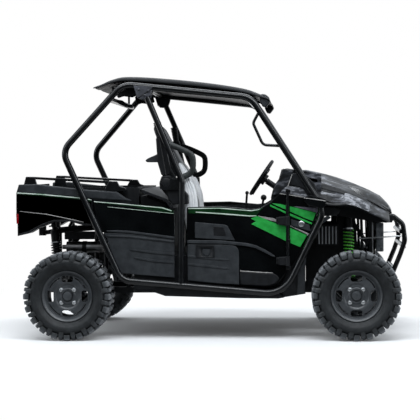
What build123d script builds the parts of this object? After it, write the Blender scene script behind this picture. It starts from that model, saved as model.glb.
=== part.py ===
from build123d import *
import os
from math import cos, pi, radians, sin

os.makedirs("parts", exist_ok=True)

# Side-by-side utility vehicle with two seats, a tilting bed and a tubular cab frame.
# Millimetres. +X is forward, +Y is the driver's side, +Z is up.
# The origin is on the ground under the middle of the vehicle's box.
# Names that end in _y for paired pieces are distances from the centre plane.

# ---------------------------------------------------------------- driving dimensions
# Running gear
wheelbase = 2187
front_axle_x = 1086
overall_width = 1575
tyre_radius = 338
lug_height = 20
front_tyre_width = 230
rear_tyre_width = 280
bead_radius = 178
tyre_bulge = 30  # how far the sidewall stands outside the rim's outer flange
kingpin_offset = 49.5  # from the hub's inner face
ball_joint_rise = 105
# Clearances
moving_gap = 6
panel_gap = 12
door_gap = 5
pin_gap = 0.3
weld_sink = 2
# Cab frame
tube_diameter = 50
pillar_diameter = 46
cross_diameter = 42
sill_y = 735
roof_inset = 80  # how much further in the roof tubes are than the sill tubes
belt_inset = 23
# Body
skin_inset = 30  # how far the body's sides stand inside the sill tubes' axes
skin_thickness = 40
sheet = 10
# Ladder frame
rail_y = 230
rail_size = 40
rail_bottom = 324
belly_plate = 6

# ---------------------------------------------------------------- worked-out places
rear_axle_x = front_axle_x - wheelbase
axle_z = tyre_radius
tube_radius = tube_diameter / 2
rail_top = rail_bottom + rail_size
rail_inner_y = rail_y - rail_size / 2
rail_outer_y = rail_y + rail_size / 2
roof_y = sill_y - roof_inset
belt_y = sill_y - belt_inset
skin_y = sill_y - skin_inset
skin_inner_y = skin_y - skin_thickness
cab_half_width = skin_inner_y - door_gap
rim_outer_y = overall_width / 2 - tyre_bulge
SIDES = ((-1, "right"), (1, "left"))


# ---------------------------------------------------------------- shared operations
def fore(x):
    """The X of a point given by its distance ahead of the front axle."""
    return front_axle_x + x


def aft(x):
    """The X of a point given by its distance ahead of the rear axle."""
    return rear_axle_x + x


def tube(points, bends, diameter):
    """Adds a round bar along straight runs joined by tangent arcs."""
    with BuildLine() as path:
        if len(points) > 2:
            FilletPolyline(*points, radius=bends)
        else:
            Line(*points)
    with BuildSketch(Plane(origin=path.line @ 0, z_dir=path.line % 0)) as ring:
        Circle(diameter / 2)
    sweep(sections=ring.sketch, path=path.line)


def side_plates(outline, inner, outer, sides=(-1, 1)):
    """Adds an outline drawn in X and Z as a plate from inner to outer |Y| on each side."""
    for side in sides:
        start = inner if side < 0 else -outer
        with BuildSketch(Plane.XZ.offset(start)) as face:
            Polygon(*outline, align=None)
        extrude(face.sketch, amount=outer - inner)


def cross_plate(outline, half_width, mode=Mode.ADD):
    """Adds or cuts an outline drawn in X and Z as one piece across the vehicle."""
    with BuildSketch(Plane.XZ) as face:
        Polygon(*outline, align=None)
    extrude(face.sketch, amount=half_width, both=True, mode=mode)


def strip(line, thickness):
    """The outline of a bent sheet: a line of X and Z points, and its underside."""
    return list(line) + [(x, z - thickness) for x, z in reversed(line)]


def block(low, high, mode=Mode.ADD):
    """Adds or cuts a box between two corners."""
    size = [b - a for a, b in zip(low, high)]
    centre = tuple((a + b) / 2 for a, b in zip(low, high))
    with Locations(centre):
        Box(*size, mode=mode)


def side_block(side, x_range, y_range, z_range, mode=Mode.ADD):
    """Adds or cuts a box on one side, its Y range given as distances from the centre plane."""
    low_y, high_y = sorted(side * y for y in y_range)
    block((x_range[0], low_y, z_range[0]), (x_range[1], high_y, z_range[1]), mode)


def cross_rod(x, z, radius, half_length, centre_y=0, mode=Mode.ADD):
    """Adds or cuts a round bar that lies across the vehicle."""
    with Locations(Location((x, centre_y, z), (90, 0, 0))):
        Cylinder(radius, 2 * half_length, mode=mode)


def cross_sections(rows):
    """Adds a ruled shell through outlines drawn in Y and Z, one for each X."""
    sections = []
    for x, outline in rows:
        with BuildSketch(Plane(origin=(x, 0, 0), x_dir=(0, 1, 0), z_dir=(1, 0, 0))) as cut:
            Polygon(*outline, align=None)
        sections.append(cut.sketch)
    loft(sections=sections, ruled=True)


def height_on(line, x):
    """The Z of a line of X and Z points at an X."""
    for (x0, z0), (x1, z1) in zip(line, line[1:]):
        if min(x0, x1) <= x <= max(x0, x1):
            return z0 + (z1 - z0) * (x - x0) / (x1 - x0)
    raise ValueError(f"{x} is outside the line")


def save(part, name):
    """Labels a finished piece and writes it as its own file."""
    part.label = name
    export_step(part, f"parts/{name}.step")


# ---------------------------------------------------------------- rims
# name, axle X, side, tyre width
WHEELS = (
    ("front_right", front_axle_x, -1, front_tyre_width),
    ("front_left", front_axle_x, 1, front_tyre_width),
    ("rear_right", rear_axle_x, -1, rear_tyre_width),
    ("rear_left", rear_axle_x, 1, rear_tyre_width),
)
rim_flange_radius = 193
rim_flange_thickness = 8
rim_wall = 10
rim_dish = 30
disc_thickness = 12
window_count = 4
window_circle = 262
window_width = 90
window_height = 54
lug_circle = 137
lug_count = 4
nut_radius = 11
nut_height = 14
cap_radius = 38
cap_height = 16
hub_radius = 60
hub_length = 26
brake_disc_radius = 98
brake_disc_thickness = 5
stub_radius = 20
stub_length = 44
barrel_outer = bead_radius - pin_gap
barrel_inner = barrel_outer - rim_wall
disc_outer_y = rim_outer_y - rim_dish
disc_inner_y = disc_outer_y - disc_thickness
hub_inner_y = disc_inner_y - hub_length
kingpin_y = hub_inner_y - kingpin_offset


def wheel_plane(axle_x, side, offset):
    """A plane square to the axle at |Y| = offset, facing outwards."""
    return Plane(origin=(axle_x, side * offset, axle_z), x_dir=(1, 0, 0), z_dir=(0, side, 0))


for name, axle_x, side, width in WHEELS:
    barrel_width = width - 2 * tyre_bulge
    inner_flange_y = rim_outer_y - barrel_width
    # start |Y|, thickness, radius of each plain round stage
    stages = (
        (disc_outer_y, cap_height, cap_radius),
        (hub_inner_y, hub_length, hub_radius),
        (hub_inner_y, brake_disc_thickness, brake_disc_radius),
        (hub_inner_y - stub_length, stub_length, stub_radius),
    )
    with BuildPart() as rim:
        with BuildSketch(wheel_plane(axle_x, side, inner_flange_y)):
            Circle(barrel_outer)
            Circle(barrel_inner, mode=Mode.SUBTRACT)
        extrude(amount=barrel_width)
        for edge_y in (inner_flange_y, rim_outer_y - rim_flange_thickness):
            with BuildSketch(wheel_plane(axle_x, side, edge_y)):
                Circle(rim_flange_radius)
                Circle(barrel_inner, mode=Mode.SUBTRACT)
            extrude(amount=rim_flange_thickness)
        with BuildSketch(wheel_plane(axle_x, side, disc_inner_y)):
            Circle(barrel_inner + weld_sink)
            with PolarLocations(window_circle / 2, window_count):
                SlotOverall(window_width, window_height, rotation=90, mode=Mode.SUBTRACT)
        extrude(amount=disc_thickness)
        with BuildSketch(wheel_plane(axle_x, side, disc_outer_y)):
            with PolarLocations(lug_circle / 2, lug_count, start_angle=180 / lug_count):
                RegularPolygon(nut_radius, 6)
        extrude(amount=nut_height)
        for start_y, length, radius in stages:
            with BuildSketch(wheel_plane(axle_x, side, start_y)):
                Circle(radius)
            extrude(amount=length)
    save(rim.part, f"rim_{name}")

# ---------------------------------------------------------------- tyres
tyre_facets = 32
tread_lugs = 18  # in each of the two staggered rows
lug_root_share = 0.56  # of the pitch between two lugs
lug_tip_share = 0.44
sidewall_radius = 262  # where the tyre is widest
shoulder_drop = 18
bead_wall = 16
tread_radius = tyre_radius - lug_height
facet_half = pi / tyre_facets
bead_plane_inset = tyre_bulge + rim_flange_thickness + pin_gap


def lug_ring(first_lug):
    """The outline of one row of tread lugs, as points across a wheel, flat at each tip."""
    pitch = 2 * pi / tread_lugs
    tip_half = pitch * lug_tip_share / 2
    root_half = pitch * lug_root_share / 2
    tip_reach = tyre_radius / cos(tip_half)
    outline = []
    for k in range(tread_lugs):
        middle = (k + first_lug) * pitch - pi / 2
        for half, reach in ((-root_half, tread_radius), (-tip_half, tip_reach)):
            outline.append((reach * cos(middle + half), reach * sin(middle + half)))
        for half, reach in ((tip_half, tip_reach), (root_half, tread_radius)):
            outline.append((reach * cos(middle + half), reach * sin(middle + half)))
    return outline


for name, axle_x, side, width in WHEELS:
    half = width / 2
    centre_y = overall_width / 2 - half
    bead_half = half - bead_plane_inset
    # distance from the tyre's middle, radius
    wall = (
        (bead_half, rim_flange_radius + bead_wall),
        (half, sidewall_radius),
        (half - shoulder_drop, tread_radius - 4),
    )
    rows = [(-y, r) for y, r in wall] + [(y, r) for y, r in reversed(wall)]
    with BuildPart() as tyre:
        for y, r in rows:
            with BuildSketch(wheel_plane(axle_x, side, centre_y + y)):
                RegularPolygon(r / cos(facet_half), tyre_facets)
        loft(ruled=True)
        lug_reach = half - shoulder_drop / 2
        for first_lug, start_y in ((0, centre_y), (0.5, centre_y - lug_reach)):
            with BuildSketch(wheel_plane(axle_x, side, start_y)):
                Polygon(*lug_ring(first_lug), align=None)
            extrude(amount=lug_reach)
        with BuildSketch(wheel_plane(axle_x, side, centre_y - width)):
            RegularPolygon(bead_radius / cos(facet_half), tyre_facets)
        extrude(amount=2 * width, mode=Mode.SUBTRACT)
        for start_y in (centre_y + bead_half, centre_y - bead_half - width):
            with BuildSketch(wheel_plane(axle_x, side, start_y)):
                RegularPolygon((rim_flange_radius + pin_gap) / cos(facet_half), tyre_facets)
            extrude(amount=width, mode=Mode.SUBTRACT)
    save(tyre.part, f"tyre_{name}")

# ---------------------------------------------------------------- hub carriers
carrier_radius = 52
post_radius = 16
ball_radius = 18
ball_clearance = 2
knuckle_outer_y = hub_inner_y - moving_gap
knuckle_inner_y = kingpin_y - 42
post_reach = ball_joint_rise - ball_radius - ball_clearance
steering_arm_x = 66
steering_arm_thickness = 14
steering_arm_width = 28
tie_rod_y = kingpin_y - 40
rack_radius = 10
tie_rod_z = rail_top + 2 * rack_radius
steering_arm_top = tie_rod_z - rack_radius - moving_gap


def hub_carrier(axle_x, side):
    """Adds the bored hub of a carrier and its round posts to the ball joints."""
    with BuildSketch(wheel_plane(axle_x, side, knuckle_inner_y)) as face:
        Circle(carrier_radius)
    extrude(face.sketch, amount=knuckle_outer_y - knuckle_inner_y)
    with Locations((axle_x, side * kingpin_y, axle_z)):
        Cylinder(post_radius, 2 * post_reach)


def hub_bore(axle_x, side):
    """Cuts the running bore for the wheel's stub shaft."""
    with BuildSketch(wheel_plane(axle_x, side, knuckle_inner_y - 1)) as face:
        Circle(stub_radius + pin_gap)
    extrude(face.sketch, amount=knuckle_outer_y - knuckle_inner_y + 2, mode=Mode.SUBTRACT)


for side, hand in SIDES:
    with BuildPart() as knuckle:
        hub_carrier(front_axle_x, side)
        side_block(
            side,
            (front_axle_x - steering_arm_x - steering_arm_width / 2, front_axle_x),
            (tie_rod_y, kingpin_y),
            (steering_arm_top - steering_arm_thickness, steering_arm_top),
        )
        hub_bore(front_axle_x, side)
    save(knuckle.part, f"knuckle_{hand}")

with BuildPart() as rear_carriers:
    for side, hand in SIDES:
        hub_carrier(rear_axle_x, side)
        hub_bore(rear_axle_x, side)
save(rear_carriers.part, "rear_hub_carriers")

# ---------------------------------------------------------------- steering
with BuildPart() as rack:
    cross_rod(front_axle_x - steering_arm_x, tie_rod_z, rack_radius, tie_rod_y + 8)
save(rack.part, "steering_rack")

steering_wheel_x = fore(-739)
seat_y = 330
steering_wheel_z = 1220
steering_wheel_diameter = 345
steering_rim_section = 28
column_rake = 34  # the wheel's plane leans this far back from upright
hub_depth = 44
steering_hub_radius = 46
spoke_width = 34
spoke_thickness = 14
spoke_depth = 22
column_radius = 16
column_length = 60
housing_wall = 8
housing_length = 150
wheel_face = Plane(
    origin=(steering_wheel_x, seat_y, steering_wheel_z),
    x_dir=(0, 1, 0),
    z_dir=(-cos(radians(column_rake)), 0, sin(radians(column_rake))),
)
with BuildPart() as steering_wheel:
    rim_centre = (steering_wheel_diameter - steering_rim_section) / 2
    with BuildSketch(Plane(wheel_face.origin, x_dir=wheel_face.x_dir, z_dir=wheel_face.y_dir)):
        with Locations((rim_centre, 0)):
            Circle(steering_rim_section / 2)
    revolve(axis=Axis(wheel_face.origin, wheel_face.z_dir))
    with BuildSketch(wheel_face.offset(-spoke_depth)):
        with PolarLocations(rim_centre / 2, 3, start_angle=90):
            Rectangle(rim_centre, spoke_width)
    extrude(amount=spoke_thickness)
    with BuildSketch(wheel_face.offset(-hub_depth)):
        Circle(steering_hub_radius)
    extrude(amount=hub_depth)
    with BuildSketch(wheel_face.offset(-hub_depth - column_length)):
        Circle(column_radius)
    extrude(amount=column_length + weld_sink)
save(steering_wheel.part, "steering_wheel")

# ---------------------------------------------------------------- cab frame, side loops
# corner X, corner |Y|, corner Z, bend radius; clockwise from the front roof corner
HOOP = (
    (fore(-783), roof_y, 1835, 155),
    (fore(-235), sill_y, 976, 160),
    (fore(-541), sill_y, 351, 215),
    (aft(414), sill_y, 460, 120),
    (aft(-27), sill_y, 1439, 125),
    (aft(427), roof_y, 1945, 145),
)
b_pillar_top = (aft(581), roof_y, 1927)
b_pillar_knee = (aft(879), belt_y, 1215)
b_pillar_foot = (aft(869), sill_y, 418)
b_pillar_bend = 90
grab_diameter = 22
grab_offset = 12
# the passenger's grab handle on the front pillar: X, Z
GRAB = ((fore(-718), 1732), (fore(-768), 1640), (fore(-694), 1475), (fore(-566), 1467))
grab_bends = (38, 48)


def b_pillar_at(z):
    """The X and |Y| of the upper B pillar's axis at a height."""
    share = (z - b_pillar_knee[2]) / (b_pillar_top[2] - b_pillar_knee[2])
    x, y = (low + share * (high - low) for low, high in zip(b_pillar_knee[:2], b_pillar_top[:2]))
    return x, y


for side, hand in SIDES:
    corners = [(x, side * y, z) for x, y, z, bend in HOOP]
    bends = [bend for x, y, z, bend in HOOP]
    sill_joint = tuple((a + b) / 2 for a, b in zip(corners[2], corners[3]))
    roof_joint = tuple((a + b) / 2 for a, b in zip(corners[5], corners[0]))
    with BuildPart() as hoop:
        tube([sill_joint, *corners[3:], roof_joint], bends[3:], tube_diameter)
        tube([roof_joint, *corners[:3], sill_joint], bends[:3], tube_diameter)
        pillar = [(x, side * y, z) for x, y, z in (b_pillar_top, b_pillar_knee, b_pillar_foot)]
        tube(pillar, b_pillar_bend, pillar_diameter)
        if side < 0:
            grab = [(x, side * (roof_y + grab_offset), z) for x, z in GRAB]
            tube(grab, grab_bends, grab_diameter)
    save(hoop.part, f"rops_side_{hand}")

# ---------------------------------------------------------------- roof
# X, Z along the upper surface, back to front
ROOF_TOP = (
    (aft(198), 1931),
    (aft(268), 1955),
    (aft(318), 1980),
    (aft(430), 2010),
    (aft(825), 1982),
    (fore(-1022), 1940),
    (fore(-795), 1898),
    (fore(-717), 1860),
    (fore(-657), 1842),
    (fore(-638), 1811),
)
# X, Z along the underside, back to front
ROOF_UNDER = (
    (aft(206), 1909),
    (aft(268), 1925),
    (aft(341), 1950),
    (aft(461), 1976),
    (aft(825), 1936),
    (fore(-1022), 1896),
    (fore(-795), 1862),
    (fore(-717), 1826),
    (fore(-667), 1790),
)
roof_half_width = roof_y - tube_radius + weld_sink
with BuildPart() as roof:
    cross_plate(list(ROOF_TOP) + list(reversed(ROOF_UNDER)), roof_half_width)
save(roof.part, "roof_panel")

# ---------------------------------------------------------------- cab frame, cross tubes
# X, Z, |Y| of the side tube it ends in
CROSSBARS = (
    (fore(-803), 1829, roof_y + 4),
    (aft(581), 1927, roof_y),
    (aft(326), 1832, roof_y + 8),
)
roof_foot_y = 450
roof_foot_radius = 9
with BuildPart() as crossbars:
    for x, z, reach in CROSSBARS:
        inner = reach - tube_radius + weld_sink
        tube([(x, -inner, z), (x, inner, z)], 0, cross_diameter)
        foot_top = height_on(ROOF_UNDER, x)
        for side, hand in SIDES:
            with Locations((x, side * roof_foot_y, (z + foot_top) / 2)):
                Cylinder(roof_foot_radius, foot_top - z)
save(crossbars.part, "rops_crossbars")

shoulder_bar_z = 1180
shoulder_bar_back = 130
ear_thickness = 10
ear_half_height = 38
ear_reach = 26  # behind the bar's axis
shoulder_bar_x = b_pillar_knee[0] - shoulder_bar_back
shoulder_bar_inset = 40
shoulder_bar_reach = belt_y - shoulder_bar_inset
with BuildPart() as shoulder_bar:
    ends = [(shoulder_bar_x, side * shoulder_bar_reach, shoulder_bar_z) for side, hand in SIDES]
    tube(ends, 0, cross_diameter)
    ear_front_x = b_pillar_knee[0] - pillar_diameter / 2 + weld_sink
    ear = (
        (shoulder_bar_x - ear_reach, shoulder_bar_z - ear_half_height),
        (ear_front_x, shoulder_bar_z - ear_half_height),
        (ear_front_x, shoulder_bar_z + ear_half_height),
        (shoulder_bar_x - ear_reach, shoulder_bar_z + ear_half_height),
    )
    side_plates(ear, shoulder_bar_reach - weld_sink, shoulder_bar_reach + ear_thickness)
    for side, hand in SIDES:
        y_range = (shoulder_bar_reach, belt_y)
        z_range = (shoulder_bar_z - ear_half_height, shoulder_bar_z + ear_half_height)
        side_block(side, (ear_front_x - ear_thickness, ear_front_x), y_range, z_range)
save(shoulder_bar.part, "shoulder_bar")

# ---------------------------------------------------------------- seats
seat_width = 500
headrest_width = 320
headrest_base_z = 1230
guard_diameter = 30
guard_gap = 5
guard_y = seat_y + seat_width / 2 + guard_gap + guard_diameter / 2
guard_top_z = 1500
guard_low_z = 1232
# X, Z of the outer corners of the loop beside each seat
GUARD = ((aft(897), 1475), (aft(979), 1412), (aft(969), 1258))
guard_bends = (40, 60, 60, 60, 40)
# X, Z outlines
CUSHION = (
    (aft(1017), 644),
    (aft(1486), 644),
    (aft(1511), 730),
    (aft(1471), 790),
    (aft(1361), 800),
    (aft(1161), 772),
    (aft(1017), 768),
)
BACK = (
    (aft(1009), 660),
    (aft(1001), 800),
    (aft(973), 1040),
    (aft(918), headrest_base_z),
    (aft(801), headrest_base_z),
    (aft(845), 1060),
    (aft(896), 800),
    (aft(901), 660),
)
HEADREST = (
    (aft(918), headrest_base_z),
    (aft(725), 1596),
    (aft(691), 1650),
    (aft(646), 1662),
    (aft(623), 1640),
    (aft(771), 1290),
    (aft(795), headrest_base_z),
)
with BuildPart() as guards:
    for side, hand in SIDES:
        top_x, top_y = b_pillar_at(guard_top_z)
        low_x, low_y = b_pillar_at(guard_low_z)
        loop = [(top_x, side * top_y, guard_top_z), (top_x + 60, side * guard_y, guard_top_z)]
        loop += [(x, side * guard_y, z) for x, z in GUARD]
        loop += [(low_x + 4, side * guard_y, guard_low_z), (low_x, side * low_y, guard_low_z)]
        tube(loop, guard_bends, guard_diameter)
save(guards.part, "shoulder_guards")

seat_inner_y = seat_y - seat_width / 2
seat_outer_y = seat_y + seat_width / 2
with BuildPart() as cushions:
    side_plates(CUSHION, seat_inner_y, seat_outer_y)
save(cushions.part, "seat_cushions")

with BuildPart() as backs:
    side_plates(BACK, seat_inner_y, seat_outer_y)
    side_plates(HEADREST, seat_y - headrest_width / 2, seat_y + headrest_width / 2)
save(backs.part, "seat_backs")

# ---------------------------------------------------------------- ladder frame
frame_rear_x = aft(-239)
frame_front_x = fore(264)
belly_rear_x = aft(101)
belly_front_x = fore(214)
bumper_y = 330
bumper_diameter = 38
bumper_foot_reach = bumper_y + 30
CROSS_MEMBERS = (frame_rear_x, belly_rear_x, aft(701), fore(-986), fore(-486), belly_front_x)
with BuildPart() as ladder:
    for side, hand in SIDES:
        y_range = (rail_inner_y, rail_outer_y)
        side_block(side, (frame_rear_x, frame_front_x), y_range, (rail_bottom, rail_top))
    for x in CROSS_MEMBERS:
        block((x, -rail_y, rail_bottom), (x + rail_size, rail_y, rail_top))
    block(
        (frame_front_x - rail_size, -bumper_foot_reach, rail_bottom),
        (frame_front_x, bumper_foot_reach, rail_top),
    )
    block(
        (belly_rear_x, -rail_outer_y, rail_bottom - belly_plate),
        (belly_front_x + rail_size, rail_outer_y, rail_bottom),
    )
save(ladder.part, "ladder_frame")

# ---------------------------------------------------------------- floor and footwells
floor_gap = 4
tunnel_y = rail_outer_y + floor_gap
tunnel_top = rail_top + floor_gap + sheet
floor_rear_x = aft(495)
toe_x = fore(-381)
toe_top_z = 866
# X, Z along the upper face of each side's floor, back to front
FLOOR_LINE = (
    (floor_rear_x, 375),
    (aft(662), 374),
    (aft(745), 345),
    (fore(-880), 328),
    (fore(-587), 325),
    (toe_x, 358),
)
skirt_outer_y = sill_y - tube_radius + weld_sink
# X, Z outline of the flange between each floor and the sill tube
SKIRT = (
    (aft(661), 366),
    (aft(745), 337),
    (fore(-880), 320),
    (fore(-587), 317),
    (fore(-541), 325),
    (fore(-586), 351),
    (aft(661), 436),
)
# X, Z outline of each footwell's outer wall
WELL_SIDE = (
    (fore(-541), 327),
    (toe_x, 350),
    (toe_x, toe_top_z),
    (toe_x - 24, toe_top_z),
    (fore(-466), 610),
    (fore(-576), 380),
)
with BuildPart() as floor:
    side_plates(strip(FLOOR_LINE, sheet), tunnel_y, cab_half_width)
    block(
        (floor_rear_x, -tunnel_y - sheet, tunnel_top - sheet),
        (toe_x, tunnel_y + sheet, tunnel_top),
    )
    tunnel_side = [(x, z - sheet) for x, z in FLOOR_LINE]
    tunnel_side += [(toe_x, tunnel_top), (floor_rear_x, tunnel_top)]
    side_plates(tunnel_side, tunnel_y, tunnel_y + sheet)
    block(
        (toe_x - sheet, -cab_half_width, tunnel_top - sheet),
        (toe_x, cab_half_width, toe_top_z),
    )
    toe_floor_z = FLOOR_LINE[-1][1]
    toe_corner = (
        (toe_x - sheet, toe_floor_z - sheet),
        (toe_x, toe_floor_z - sheet),
        (toe_x, tunnel_top),
        (toe_x - sheet, tunnel_top),
    )
    side_plates(toe_corner, tunnel_y, cab_half_width)
    side_plates(SKIRT, cab_half_width - sheet, skirt_outer_y)
    side_plates(WELL_SIDE, cab_half_width - sheet, cab_half_width)
save(floor.part, "floor_pan")

# ---------------------------------------------------------------- seat box, engine, controls
seat_box_gap = 2
seat_box_half = cab_half_width - sheet - seat_box_gap
seat_box_front = aft(1251)
seat_box_rear = aft(501)
seat_box_top = 640
seat_box_bottom = tunnel_top
with BuildPart() as seat_box:
    block(
        (seat_box_rear, -seat_box_half, seat_box_bottom),
        (seat_box_front, seat_box_half, seat_box_top),
    )
    block(
        (seat_box_rear + sheet, -seat_box_half + sheet, seat_box_bottom),
        (seat_box_front - sheet, seat_box_half - sheet, seat_box_top - sheet),
        Mode.SUBTRACT,
    )
save(seat_box.part, "seat_box")

engine_rear_x = seat_box_rear + 30
engine_front_x = seat_box_front - 210
engine_right_y = -210
engine_left_y = 250
engine_top = seat_box_top - 20
with BuildPart() as engine:
    block(
        (engine_rear_x, engine_right_y, seat_box_bottom),
        (engine_front_x, engine_left_y, engine_top),
    )
save(engine.part, "engine_block")

console_half_width = 60
console_top_z = 760
console_gap = 5
lever_radius = 9
lever_sink = 10
# foot X, Y, knob X, knob Z, knob radius
LEVERS = (
    (seat_box_front + 60, 34, fore(-848), 1100, 15),
    (seat_box_front + 170, -22, fore(-712), 1062, 24),
)
with BuildPart() as controls:
    block(
        (seat_box_front + console_gap, -console_half_width, tunnel_top),
        (toe_x - sheet - console_gap, console_half_width, console_top_z),
    )
    for foot_x, lever_y, knob_x, knob_z, knob_radius in LEVERS:
        foot = (foot_x, lever_y, console_top_z - lever_sink)
        tube([foot, (knob_x, lever_y, knob_z)], 0, 2 * lever_radius)
        with Locations((knob_x, lever_y, knob_z)):
            Sphere(knob_radius)
save(controls.part, "control_levers")

# ---------------------------------------------------------------- dashboard
# X, Z outline
DASH = (
    (fore(-637), 1040),
    (fore(-637), 1081),
    (fore(-615), 1164),
    (fore(-578), 1214),
    (fore(-556), 1289),
    (fore(-406), 1280),
    (fore(-392), 1180),
    (fore(-392), toe_top_z),
    (fore(-446), toe_top_z),
    (fore(-526), 900),
)
with BuildPart() as dash:
    cross_plate(DASH, cab_half_width)
    with BuildSketch(wheel_face.offset(-hub_depth - moving_gap)):
        Circle(column_radius + pin_gap + housing_wall)
    extrude(amount=-housing_length)
    with BuildSketch(wheel_face.offset(-hub_depth - moving_gap)):
        Circle(column_radius + pin_gap)
    extrude(amount=-column_length, mode=Mode.SUBTRACT)
save(dash.part, "dashboard")

# ---------------------------------------------------------------- doors
hinge_x = fore(-512)
hinge_y = sill_y + 13
hinge_pin_radius = 11
knuckle_wall = 7
hinge_block_height = 70
hinge_arm_length = 70
hinge_arm_gap = 18
hinge_arm_sink = 5
hinge_strap_length = 30
hinge_strap_half = 12
# Z of each hinge block's centre
HINGE_BLOCKS = (602, 904)
hinge_tube_low = 540
hinge_tube_high = 1142
hinge_tube_middle = (hinge_tube_low + hinge_tube_high) / 2
hinge_tube_height = hinge_tube_high - hinge_tube_low
door_rear_x = aft(913)
door_front_x = hinge_x - panel_gap
# X, Z
DOOR = (
    (door_rear_x, 448),
    (fore(-1024), 424),
    (fore(-685), 402),
    (fore(-616), 415),
    (fore(-556), 462),
    (door_front_x, 520),
    (door_front_x, 1098),
    (fore(-579), 1107),
    (fore(-719), 998),
    (fore(-1020), 1014),
    (door_rear_x, 1010),
)
moulding = 8
# X, Z of the raised band under the door's upper edge, and of the latch plate
DOOR_BAND = (
    (door_rear_x + panel_gap, 905),
    (fore(-967), 873),
    (fore(-786), 862),
    (fore(-666), 900),
    (fore(-726), 985),
    (fore(-1020), 1001),
    (door_rear_x + panel_gap, 997),
)
LATCH_PLATE = ((aft(983), 729), (aft(1121), 722), (aft(1141), 604), (aft(977), 612))
for side, hand in SIDES:
    with BuildPart() as door:
        side_plates(DOOR, skin_inner_y, skin_y, (side,))
        side_plates(DOOR_BAND, skin_y - weld_sink, skin_y + moulding, (side,))
        side_plates(LATCH_PLATE, skin_y - weld_sink, skin_y + moulding, (side,))
        for z in HINGE_BLOCKS:
            z_range = (z - hinge_block_height / 2, z + hinge_block_height / 2)
            arm_x = (hinge_x - hinge_arm_length, hinge_x - hinge_arm_gap)
            side_block(side, arm_x, (skin_y - hinge_arm_sink, hinge_y), z_range)
            strap_x = (hinge_x - hinge_strap_length, hinge_x)
            strap_y = (hinge_y - hinge_strap_half, hinge_y + hinge_strap_half)
            side_block(side, strap_x, strap_y, z_range)
            with Locations((hinge_x, side * hinge_y, z)):
                Cylinder(hinge_pin_radius + knuckle_wall, hinge_block_height)
        with Locations((hinge_x, side * hinge_y, hinge_tube_middle)):
            Cylinder(hinge_pin_radius + pin_gap, 2 * hinge_tube_height, mode=Mode.SUBTRACT)
    save(door.part, f"door_{hand}")

# ---------------------------------------------------------------- fixed side panels
cowl_rear_x = hinge_x + panel_gap + weld_sink
# X, Z
COWL = (
    (cowl_rear_x, 560),
    (fore(-480), 560),
    (fore(-414), 700),
    (fore(-334), 860),
    (fore(-314), 930),
    (fore(-314), 1050),
    (cowl_rear_x, 1090),
)
# Z of each bracket that holds the hinge tube
bracket_half_height = 12
HINGE_BRACKETS = (hinge_tube_low + bracket_half_height, 753, hinge_tube_high - 15)
BRACKET_X = (hinge_x - 8, hinge_x + 22)
BRACKET_Y = (skin_y - 20, hinge_y + 8)
with BuildPart() as cowl:
    side_plates(COWL, cab_half_width, skin_y)
    for side, hand in SIDES:
        with Locations((hinge_x, side * hinge_y, hinge_tube_middle)):
            Cylinder(hinge_pin_radius, hinge_tube_height)
        for z in HINGE_BRACKETS:
            z_range = (z - bracket_half_height, z + bracket_half_height)
            side_block(side, BRACKET_X, BRACKET_Y, z_range)
save(cowl.part, "cowl_sides")

quarter_front_x = aft(819)
QUARTER = (
    (quarter_front_x, 478),
    (aft(461), 512),
    (aft(411), 560),
    (aft(311), 790),
    (aft(223), 868),
    (aft(203), 1058),
    (aft(321), 1052),
    (aft(741), 1012),
    (quarter_front_x, 985),
)
with BuildPart() as quarter:
    side_plates(QUARTER, cab_half_width, skin_y)
save(quarter.part, "quarter_panels")

# X, Z outline of the shelf and wall behind the seats
BULKHEAD = (
    (aft(561), 1150),
    (aft(591), 1136),
    (aft(761), 1070),
    (aft(801), 1000),
    (aft(781), seat_box_top),
    (aft(766), seat_box_top),
    (aft(785), 1000),
    (aft(747), 1058),
    (aft(581), 1120),
    (aft(561), 1130),
)
with BuildPart() as bulkhead:
    cross_plate(BULKHEAD, cab_half_width)
save(bulkhead.part, "rear_bulkhead")

pillar_foot_gap = 8
PILLAR_FOOT = (
    (fore(-466), 1255),
    (fore(-498), 1173),
    (fore(-395), 1152),
    (fore(-361), 1100),
    (fore(-296), 1088),
    (fore(-309), 1151),
    (fore(-326), 1190),
    (fore(-392), 1240),
)
with BuildPart() as pillar_feet:
    side_plates(PILLAR_FOOT, cab_half_width, sill_y - tube_radius - pillar_foot_gap)
save(pillar_feet.part, "pillar_brackets")

# ---------------------------------------------------------------- front body
# X, Z at the inner edge, shoulder |Y|, shoulder Z, lip |Y|, lip Z
FENDER = (
    (fore(-286), 1222, 560, 1190, 700, 1058),
    (fore(-216), 1205, 560, 1180, 700, 1052),
    (fore(-132), 1180, 580, 1140, 700, 1015),
    (fore(-17), 1140, 590, 1095, 700, 1003),
    (fore(96), 1090, 560, 1040, 690, 955),
    (fore(204), 1040, 500, 980, 640, 904),
    (fore(262), 990, 450, 950, 560, 880),
)
hood_half_width = 385
hood_gap = 15
fender_inner_y = hood_half_width + hood_gap
cowl_top_inset = 20
COWL_TOP = ((fore(-382), 1235), (fore(-286), 1212), (fore(-286), 1190), (fore(-382), 1205))
with BuildPart() as fenders:
    for side, hand in SIDES:
        rows = []
        for x, in_z, shoulder_y, shoulder_z, lip_y, lip_z in FENDER:
            outline = (
                (fender_inner_y, in_z),
                (shoulder_y, shoulder_z),
                (lip_y, lip_z),
                (lip_y - sheet, lip_z),
                (shoulder_y - sheet, shoulder_z - sheet),
                (fender_inner_y, in_z - sheet),
            )
            rows.append((x, [(side * y, z) for y, z in outline]))
        cross_sections(rows)
    side_plates(COWL_TOP, fender_inner_y, cab_half_width - cowl_top_inset)
save(fenders.part, "front_fenders")

# share of the way from the fender's inner edge to its shoulder
lamp_inner_share = 0.12
lamp_outer_share = 0.9
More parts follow.
